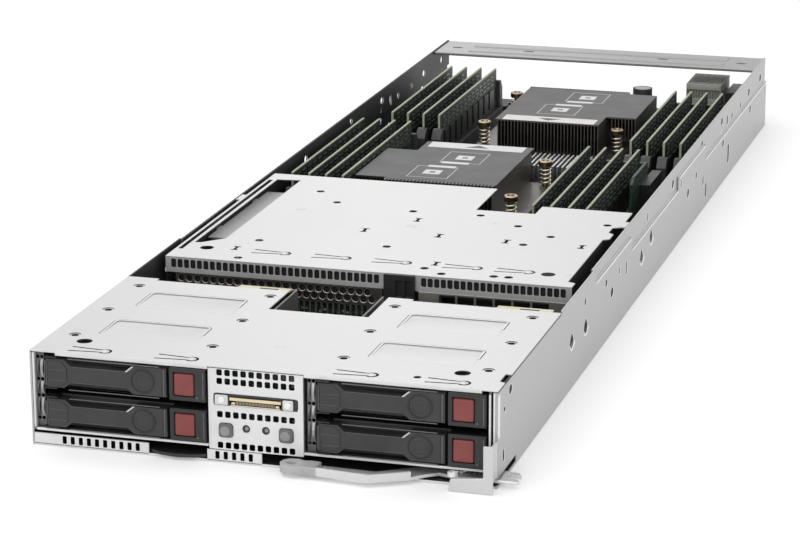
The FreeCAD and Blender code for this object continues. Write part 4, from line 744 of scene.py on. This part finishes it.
# Drive cage: folded sheet with a floor, dividers and ledges, dark spring
# strips beside each bay and a backplane behind. Its cover has shallow ramped
# panels, sunk screw holes and spring fingers along the front edge.
cage_steel = metal("cage_steel", 0.20, 0.14, rough=0.45, shine=0.7, bump=0.04)
strip_dark = metal("strip_dark", 0.16, 0.07, rough=0.3, shine=0.85)
strip_highlight = metal("strip_highlight", 0.40, 0.22, rough=0.28, shine=0.8)
sawn_cream = plastic("sawn_cream", (0.74, 0.70, 0.52), (0.66, 0.62, 0.46), rough=0.6, bump=0.1)
dress(cage_steel, 0.0002, "drive_cage")
dress(board_card, 0.0, "drive_backplanes")
dress(chip_black, 0.0002, "drive_connectors")
mesh = bmesh.new()
for left, right, mark in ((-49.4, -24.4, -39.0), (75.2, 101.2, 86.0)):
    add_block(mesh, (left, -229.1, 42.5), (right, -225.0, 43.3))
    add_block(mesh, (mark, -228.6, 43.28), (mark + 9.0, -227.2, 43.36), 1)
new_piece("backplane_edges", mesh, [sawn_cream, shade_black], "tray")
# Bright strips along the cage's front edges are painted highlights in the lit copy of the steel.
mesh = bmesh.new()
for left, right in ((-103.2, -23.2), (20.2, 102.4)):
    cut_sheet(mesh, [rounded((left, 6.95), (right, 8.05), 0.4)], -345.25, -344.2, 0.2, "front")
for left, right in ((-23.0, -22.1), (19.1, 20.0), (101.6, 102.5)):
    cut_sheet(mesh, [rounded((left, 8.2), (right, 41.6), 0.35)], -345.2, -344.4, 0.2, "front")
sheet_piece("cage_front_edges", mesh, lit_white_steel)

low, high = corners("bay_spring_strips")
mesh = bmesh.new()
for left in (low.x, high.x - 3.9):
    strip = [oblong((left, low.z), (left + 3.9, high.z))]
    strip += [circle(left + a, z, 0.75, 12) for a in (1.0, 2.9) for z in (11.9, 22.3, 29.8, 40.0)]
    cut_sheet(mesh, strip, low.y + 1.2, low.y + 1.9, 0.1, "front")
    # Of each pair of leaves, one takes the pale copy of the steel as painted highlight and the other the dark
    # one.
    for x, wide, part in ((left + 0.55, 0.9, 0), (left + 2.35, 1.1, 1)):
        for bottom, upper in ((12.9, 21.3), (23.3, 28.8), (30.8, 39.0)):
            rings = []
            for step in range(9):
                z = bottom + (upper - bottom) * step / 8
                y = low.y + 1.2 - 0.95 * math.sin(math.pi * step / 8)
                rings.append([(x, y, z), (x + wide, y, z), (x + wide, y + 0.25, z), (x, y + 0.25, z)])
            join_rings(mesh, rings, part)
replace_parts(new_piece("bay_spring_leaves", mesh, [strip_dark, strip_highlight], "tray"),
            "bay_spring_strips")


def add_ramp(mesh, left, right, back, fade, top, drop, skin):
    """A panel pressed down towards its back edge, with a steep edge there."""
    shells = []
    for level in (0.0, -skin):
        rim = [(left, fade, top), (right, fade, top), (right, back, top), (left, back, top),
               (right - 1.2, back - 1.0, top - drop), (left + 1.2, back - 1.0, top - drop)]
        shells.append([mesh.verts.new((x, y, z + level)) for x, y, z in rim])
    for shell in shells:
        for ring in ((0, 1, 4, 5), (1, 2, 4), (2, 3, 5, 4), (3, 0, 5)):
            mesh.faces.new([shell[i] for i in ring])
    for i in range(4):
        after = (i + 1) % 4
        mesh.faces.new((shells[0][i], shells[0][after], shells[1][after], shells[1][i]))


low, high = corners("drive_cage_cover")
cover_top, front, side = high.z, low.y, high.x
cuts = [[(-side, front), (side, front), (side, -333.4), (103.0, -332.2), (103.0, -321.8), (side, -321.8),
         (side, -229.3), (35.2, -229.3), (35.2, -226.6), (23.2, -226.6), (23.2, -259.1), (-24.3, -259.1),
         (-24.3, -229.3), (-89.8, -229.3), (-89.8, -226.2), (-side, -226.2)]]
sunk = [(x, y) for x in (-94.7, -30.0, 30.0, 94.7) for y in (-239.4, -278.8, -318.6)]
cuts += [circle(x, y, 2.7) for x, y in sunk]
cuts += [circle(*hole) for hole in ((-86.9, -326.8, 3.5), (85.0, -325.5, 3.5), (68.0, -336.0, 1.7))]
panels = ((-84.5, -37.8, -248.0, -272.0), (-84.8, -39.2, -292.6, -316.7), (40.3, 86.5, -248.5, -271.3),
          (40.0, 87.0, -292.3, -316.3))
cuts += [oblong((left, fade), (right, back)) for left, right, back, fade in panels]
fingers, finger_row = (-89.0, -48.9, 32.1, 72.6), -338.3
cuts += [finger_slit(x, finger_row) for x in fingers]
mesh = bmesh.new()
# The walls of the cover's cuts take the painted shade.
cut_sheet(mesh, cuts, cover_top - skin, cover_top, cut=1)
for left, right, back, fade in panels:
    add_ramp(mesh, left + 0.02, right - 0.02, back - 0.02, fade + 0.02, cover_top - 0.02, 0.5, 0.4)
    # Each panel's L-shaped bead is a pale line as painted highlight with a dark line inside it as painted
    # shade.
    for grow, wide, rise, part in ((0.0, 0.9, 0.1, 2), (0.45, 0.4, 0.04, 1)):
        bead = []
        for inset in (-grow, wide - grow):
            path = [(left + inset, back - 22), (left + inset, back - 2.2), (left + 2.2, back - inset),
                    (right - 2.2, back - inset), (right - inset, back - 2.2), (right - inset, back - 13)]
            bead += path if inset == -grow else path[::-1]
        cut_sheet(mesh, [bead], cover_top - 0.1, cover_top + rise, 0.03, part=part)
# Each sunk hole's dish has its wall in painted shade and its flat seat in painted highlight.
dish = ((2.78, -0.06), (2.62, -0.42), (1.75, -0.42), (1.6, -1.4), (1.9, -1.4), (2.78, -0.6))
for x, y in sunk:
    rings = [[(*spot, cover_top + height) for spot in circle(x, y, radius)] for radius, height in dish]
    join_rings(mesh, rings, loop=(1, 2, 1, 1, 1, 1))
for x in fingers:
    add_dome(mesh, x + finger_tip, finger_row, cover_top - 0.05, 1.8, 0.5)
add_dome(mesh, -1.1, -311.9, cover_top - 0.05, 2.6, 0.35)
# The cover's front lip takes the lit copy of the steel as painted highlight.
for x0, x1 in ((-93.5, -23.2), (20.2, 98.5)):
    add_block(mesh, (x0, front - 0.05, 41.8), (x1, front + 1.0, cover_top - 0.15), 2)
# Dark strips along the lid's side edges are painted shade for the gap over the walls.
for x0, x1 in ((-side - 0.02, -side + 0.9), (side - 0.9, side + 0.02)):
    add_block(mesh, (x0, front + 0.6, 42.3), (x1, -229.6, cover_top - skin), 1)
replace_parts(sheet_piece("drive_cage_top", mesh, [cover_steel, shade_black, lit_white_steel]), "drive_cage_cover")


# Front panel: a white-finished plate with square vents between the bays,
# a wide metal connector with post nuts, two clear push buttons and two lights.
panel_white = metal("panel_white", 0.80, 0.74, rough=0.45, shine=0.2, bump=0.03, grain=0.4)
shell_metal = metal("shell_metal", (0.60, 0.54, 0.44), (0.42, 0.37, 0.29), rough=0.3, shine=0.9)
pin_brass = metal("pin_brass", (0.78, 0.68, 0.46), (0.58, 0.48, 0.30), rough=0.3, shine=0.85, bump=0.03)
button_grey = plastic("button_grey", 0.08, 0.13, rough=0.25, bump=0.1, fine=900.0, Coat_Weight=0.5)
button_pale = plastic("button_pale", 0.20, 0.36, rough=0.2, bump=0.1, fine=900.0, Coat_Weight=0.5)
dress(board_card, 0.0, "front_io_board")
dress(plug_black, 0.0003, "front_io_connector", "status_leds")

low, high = corners("front_grille_panel")
middle, front = (low.x + high.x) / 2, low.y
cuts = [rounded((low.x, low.z), (high.x, high.z), 0.6),
        rounded((middle - 19.1, 26.1), (middle + 19.1, 31.5), 1.4)]
for bottom in (39.4, 35.5, 20.5, 6.5):
    for place in range(10):
        x = middle - 17.585 + 3.63 * place
        cuts.append(rounded((x, bottom), (x + 2.5, bottom + 2.8), 0.6))
button_z, hole, lights = 14.85, 3.3, (middle - 4.45, middle + 4.45)
for x in (middle - 13.65, middle + 13.65):
    cuts.append(rounded((x - hole, button_z - hole), (x + hole, button_z + hole), 1.6))
cuts += [circle(x, 16.25, 1.7) for x in lights]
mesh = bmesh.new()
# The walls of the vents and holes take the painted shade.
cut_sheet(mesh, cuts, front, front + 1.0, 0.1, "front", cut=1)
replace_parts(sheet_piece("front_panel_plate", mesh, [panel_white, shade_black]), "front_grille_panel")

for name in ("identity_button", "power_button"):
    low, high = corners(name)
    x = (low.x + high.x) / 2
    mesh = bmesh.new()
    cut_sheet(mesh, [rounded((x - 3.1, 11.75), (x + 3.1, 17.95), 1.5)], low.y, high.y, 0.5, "front")
    dome = ((2.3, 0.1), (2.2, -0.1), (1.5, -0.22), (0.6, -0.26))
    add_turned(mesh, (x - 0.2, low.y, 14.9), dome, 20, 1, "y")
    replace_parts(new_piece(f"{name}_cap", mesh, [button_grey, button_pale], name,
                          smooth=True), name)
low, high = corners("status_leds")
mesh = bmesh.new()
dome = ((0.9, 0.1), (0.85, -0.1), (0.5, -0.22), (0.2, -0.26))
for x in lights:
    add_turned(mesh, (x + 0.45, low.y, 16.55), dome, 18, 0, "y")
new_piece("light_lenses", mesh, button_pale, "tray", smooth=True)

low, high = corners("front_io_connector")
mesh = bmesh.new()
add_block(mesh, (middle - 11.6, low.y - 0.25, 28.75), (middle + 11.6, low.y + 0.6, 30.1))
add_block(mesh, (middle - 11.2, low.y - 0.15, 26.35), (middle + 11.2, low.y + 0.5, 26.75))
for x in (middle - 10.8, middle + 9.2):
    add_block(mesh, (x, low.y - 0.1, 27.0), (x + 1.6, low.y + 0.5, 28.0))
for place in range(27):
    x = middle - 8.8 + 0.66 * place
    add_block(mesh, (x, low.y - 0.05, 27.1), (x + 0.28, low.y + 0.5, 28.4), 1)
new_piece("connector_contacts", mesh, [pin_brass, shell_metal], "tray", 0.08)
mesh = bmesh.new()
post = ((1.5, 0.1), (1.5, -0.35), (1.2, -0.5), (0.8, -0.5), (0.6, -0.1))
for left, right in ((-18.3, -12.3), (12.4, 17.2)):
    foot = rounded((middle + left, 26.5), (middle + right, 31.0), 0.6)
    cut_sheet(mesh, [foot], low.y - 0.5, low.y + 0.4, 0.2, "front")
    add_turned(mesh, (middle + (left + right) / 2, low.y - 0.5, 28.8), post, 6, 1, "y")
new_piece("connector_posts", mesh, [screw_steel, pale_steel_and_highlight], "tray", smooth=True)


# Drive carriers: charcoal moulded frames that hold a drive and slide out.
# Each front has a swinging lever with a plain label plate, a round boss and
# two finger notches, and a dull red button that lets the lever go.
charcoal = plastic("charcoal", 0.026, 0.033, rough=0.46, bump=0.25)
# The paler charcoal is painted highlight on the carriers' ribs, ledges and edges; the near-black charcoal is
# painted shade on the carrier body, in the notches and in the lever's groove, and the own dark tone of the boss
# ring and its dashes; the silver finish is a painted highlight on a notch's chamfer.
pale_charcoal_highlight = plastic("pale_charcoal_highlight", 0.12, 0.16, rough=0.42)
charcoal_black_and_shade = plastic("charcoal_black_and_shade", 0.006, 0.010, rough=0.42)
button_red = plastic("button_red", (0.205, 0.042, 0.040), (0.25, 0.056, 0.053), rough=0.5)
charcoal_block = plastic("charcoal_block", 0.013, 0.018, rough=0.46, bump=0.25)
chamfer_highlight_silver = plastic("chamfer_highlight_silver", 0.62, 0.52, rough=0.4, bump=0.1)
drive_case = metal("drive_case", 0.5, 0.36, rough=0.35, shine=0.85)


def on_front(kind, number, mesh, finish, body, smooth=False):
    """A piece drawn from the lower left corner of a carrier's front, set in its place."""
    corner, front = corners(f"carrier_{number}")[0], corners(f"carrier_lever_{number}")[0].y
    mesh.transform(Matrix.Translation((corner.x, front, corner.z)))
    new_piece(f"{kind}_{number}", mesh, finish, f"{body}_{number}", smooth=smooth)


boss_x, boss_z, sunk_in = 46.5, 7.35, 0.1
for number in (1, 2, 3, 4):
    # The carrier body takes the near-black charcoal as painted shade behind the lever.
    dress(charcoal_black_and_shade, 0.0004, f"carrier_{number}")
    dress(charcoal, 0.0004, f"carrier_lever_{number}")
    dress(drive_case, 0.0006, f"drive_{number}")
    dress(button_red, 0.0008, f"release_button_{number}")
    mesh = bmesh.new()
    plate = [(2.3, 1.7), (8.6, 1.7), (11.3, 4.4), (11.3, 10.3), (8.6, 13.0), (2.3, 13.0)]
    cut_sheet(mesh, [plate], -0.3, sunk_in, 0.12, "front")
    cut_sheet(mesh, [circle(boss_x, boss_z, 4.4, 40)], -0.14, sunk_in, 0.06, "front")
    on_front("lever_face", number, mesh, charcoal, "carrier_lever", True)
    mesh = bmesh.new()
    ring = [circle(boss_x, boss_z, radius, 40) for radius in (5.6, 4.75)]
    cut_sheet(mesh, ring, -0.2, sunk_in, 0.08, "front", 1)
    for step in range(12):
        turn = [math.radians(30 * step + a) for a in (-9, 9)]
        dash = [(boss_x + r * math.cos(a), boss_z + r * math.sin(a))
                for r, a in zip((3.3, 3.3, 3.0, 3.0), turn + turn[::-1])]
        cut_sheet(mesh, [dash], -0.2, sunk_in, 0.04, "front", 1)
    # A dark line in the lever's groove is painted shade; the pale ribs and hairlines along its edges are
    # painted highlights.
    add_block(mesh, (55.3, -0.1, 1.2), (55.85, sunk_in, 13.5), 1)
    for left, right, bottom, top, rise in (
            (0.9, 1.15, 1.9, 12.8, 0.12), (1.6, 1.85, 1.9, 12.8, 0.12), (55.95, 56.35, 1.3, 13.4, 0.16),
            (13.6, 38.4, 3.72, 3.86, 0.1), (13.6, 38.4, 10.84, 10.98, 0.1)):
        add_block(mesh, (left, -rise, bottom), (right, sunk_in, top))
    for z in (4.3, 9.1):
        add_block(mesh, (2.7, -0.36, z), (10.6, -0.28, z + 0.14))
    on_front("lever_highlight_and_shade_lines", number, mesh, [pale_charcoal_highlight, charcoal_black_and_shade], "carrier_lever")
    mesh = bmesh.new()
    # A silver stripe along the top notch's chamfer is a painted highlight.
    cut_sheet(mesh, [[(38.3, 10.9), (39.3, 10.9), (42.5, 13.55), (41.5, 13.55)]], -0.16, sunk_in, 0.05, "front")
    on_front("lever_chamfer_highlight", number, mesh, chamfer_highlight_silver, "carrier_lever")
    mesh = bmesh.new()
    # Dark plates set back in the finger notches are painted shade.
    for bottom, top in ((1.1, 3.5), (11.2, 13.6)):
        add_block(mesh, (10.0, 5.55, bottom), (42.0, 5.8, top))
    on_front("carrier_recess_shade", number, mesh, charcoal_black_and_shade, "carrier")
    mesh = bmesh.new()
    surround = [rounded((58.75, 0.35), (75.05, 14.35), 0.5), rounded((60.2, 1.6), (70.6, 13.1), 0.8)]
    cut_sheet(mesh, surround, -0.12, sunk_in, 0.05, "front")
    on_front("carrier_face", number, mesh, charcoal_block, "carrier", True)
    mesh = bmesh.new()
    # Pale lines along the carrier's ledges and the bevel beside the button are painted highlights; the small
    # pale dot is drawn in the same finish.
    for bottom, top in ((0.15, 0.5), (14.2, 14.55)):
        add_block(mesh, (12.0, -0.1, bottom), (54.0, 0.2, top))
    add_block(mesh, (74.0, -0.18, 1.4), (74.3, -0.05, 13.3))
    add_turned(mesh, (71.4, 0, 1.9), ((0.4, 0.1), (0.4, -0.16), (0.25, -0.24)), 12, axis="y")
    on_front("carrier_edge_highlights", number, mesh, pale_charcoal_highlight, "carrier")


# Ejector: a thin lever with a folded rim turns on a pivot under the right bay
# and ends in a pale grip; a folded corner bracket holds it. A black pull-out
# tab for notes slides under the left bay.
lever_steel = metal("lever_steel", 0.76, 0.68, rough=0.3, shine=0.45, bump=0.0, grain=0.2)
tip_pale = plastic("tip_pale", 0.56, 0.48, rough=0.28, bump=0.08, Transmission_Weight=0.15)
tab_black = plastic("tab_black", 0.013, 0.02, rough=0.38, bump=0.15)
bracket_pale = metal("bracket_pale", 0.68, 0.61, rough=0.42, shine=0.3, bump=0.03, grain=0.5)
dress(bracket_pale, 0.0005, "ejector_bracket")
dress(screw_steel, 0.0002, "ejector_pivot")
dress(lever_steel, 0.0002, "ejector_lever")
dress(tab_black, 0.0004, "pull_tab")
mesh = bmesh.new()
add_coil(mesh, (86.2, -345.6, 0), 2.0, 0.4, 3.7, 6.6, 3, 16)
add_turned(mesh, (88.2, -345.6, 6.2), ((0.35, 0.0), (0.35, 0.5)), 8)
new_piece("ejector_spring", mesh, pale_steel_and_highlight, "tray", smooth=True)

low, high = corners("ejector_tip")
grip = [(11.2, -351.5), (12.2, -354.2), (15.0, -355.8), (19.0, -356.2), (21.4, -354.9), (24.6, -355.3),
        (28.5, -355.3), (28.5, -347.0), (24.2, -346.4), (20.8, -347.2), (18.6, -345.8), (14.2, -346.2),
        (11.8, -348.4)]
mesh = bmesh.new()
cut_sheet(mesh, [grip, circle(16.4, -351.0, 2.2, 16)], low.z, high.z, 0.5)
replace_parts(new_piece("ejector_grip", mesh, tip_pale, "ejector", smooth=True), "ejector_tip")


# Floor, light and camera: a plain white sweep under soft light from above,
# seen from the right and from above, through a long lens.
floor_data = bpy.data.meshes.new("floor")
floor_data.from_pydata([(x, y, 0) for x, y in oblong((-12, -12), (12, 12))], [], [(0, 1, 2, 3)])
floor = set_down("floor", floor_data)
floor.location = (0, 0, cad_box[0].z - 0.0002)
paper = bpy.data.materials.new("floor_white")
paper.use_nodes = True
tree = paper.node_tree
shader = tree.nodes["Principled BSDF"]
for key, value in (("Base Color", colour(0.9)), ("Roughness", 0.6), ("Specular IOR Level", 0.1),
                   ("Emission Color", colour(1.0))):
    feed(tree, shader.inputs[key], value)


def seen_directly(tree):
    """One where the eye, a shiny surface or glass looks straight at the surroundings, else nought."""
    path = put(tree, "ShaderNodeLightPath")
    shiny = count(tree, "MAXIMUM", path.outputs["Is Glossy Ray"], path.outputs["Is Transmission Ray"])
    return count(tree, "MAXIMUM", path.outputs["Is Camera Ray"], shiny)


feed(tree, shader.inputs["Emission Strength"], count(tree, "MULTIPLY", seen_directly(tree), 0.25))
floor_data.materials.append(paper)

world = bpy.data.worlds.new("studio")
bpy.context.scene.world = world
world.use_nodes = True
tree = world.node_tree
sky = tree.nodes["Background"]
feed(tree, sky.inputs["Color"], colour(1.0))
feed(tree, sky.inputs["Strength"], count(tree, "MULTIPLY_ADD", seen_directly(tree), 0.5, 0.5))


def soft_box(name, place, aim, power, wide, deep):
    """A large soft lamp aimed at a point."""
    data = bpy.data.lights.new(name, "AREA")
    data.shape = "RECTANGLE"
    data.size, data.size_y, data.energy = wide, deep, power
    lamp = set_down(name, data)
    lamp.location = place
    lamp.rotation_euler = (Vector(aim) - Vector(place)).to_track_quat("-Z", "Y").to_euler()


soft_box("overhead", (-0.5, -0.2, 2.2), (0, 0, 0), 22.5, 2.6, 2.6)
soft_box("from_front", (0.3, -2.3, 1.0), (0, -0.3, 0), 22, 3.4, 2.4)
soft_box("from_right", (1.9, 1.4, 0.8), (0.1, 0.15, 0.02), 4, 1.0, 0.8)
soft_box("from_behind", (-0.82, 2.6, 1.04), (-0.1, -0.2, 0.04), 1.5, 0.55, 0.55)

turn, dip, roll = 0.28252, 0.28314, -0.00284
eye, focal, picture_wide = (0.389878, -1.470828, 0.432800), 2932.97, 800
lens = bpy.data.cameras.new("camera")
lens.sensor_width = 36.0
lens.lens = lens.sensor_width * focal / picture_wide
camera = set_down("camera", lens)
camera.matrix_world = (Matrix.Translation(eye) @ Matrix.Rotation(turn, 4, "Z")
                       @ Matrix.Rotation(math.pi / 2 - dip, 4, "X") @ Matrix.Rotation(roll, 4, "Z"))
bpy.context.scene.camera = camera
bpy.context.scene.view_settings.view_transform = "Standard"
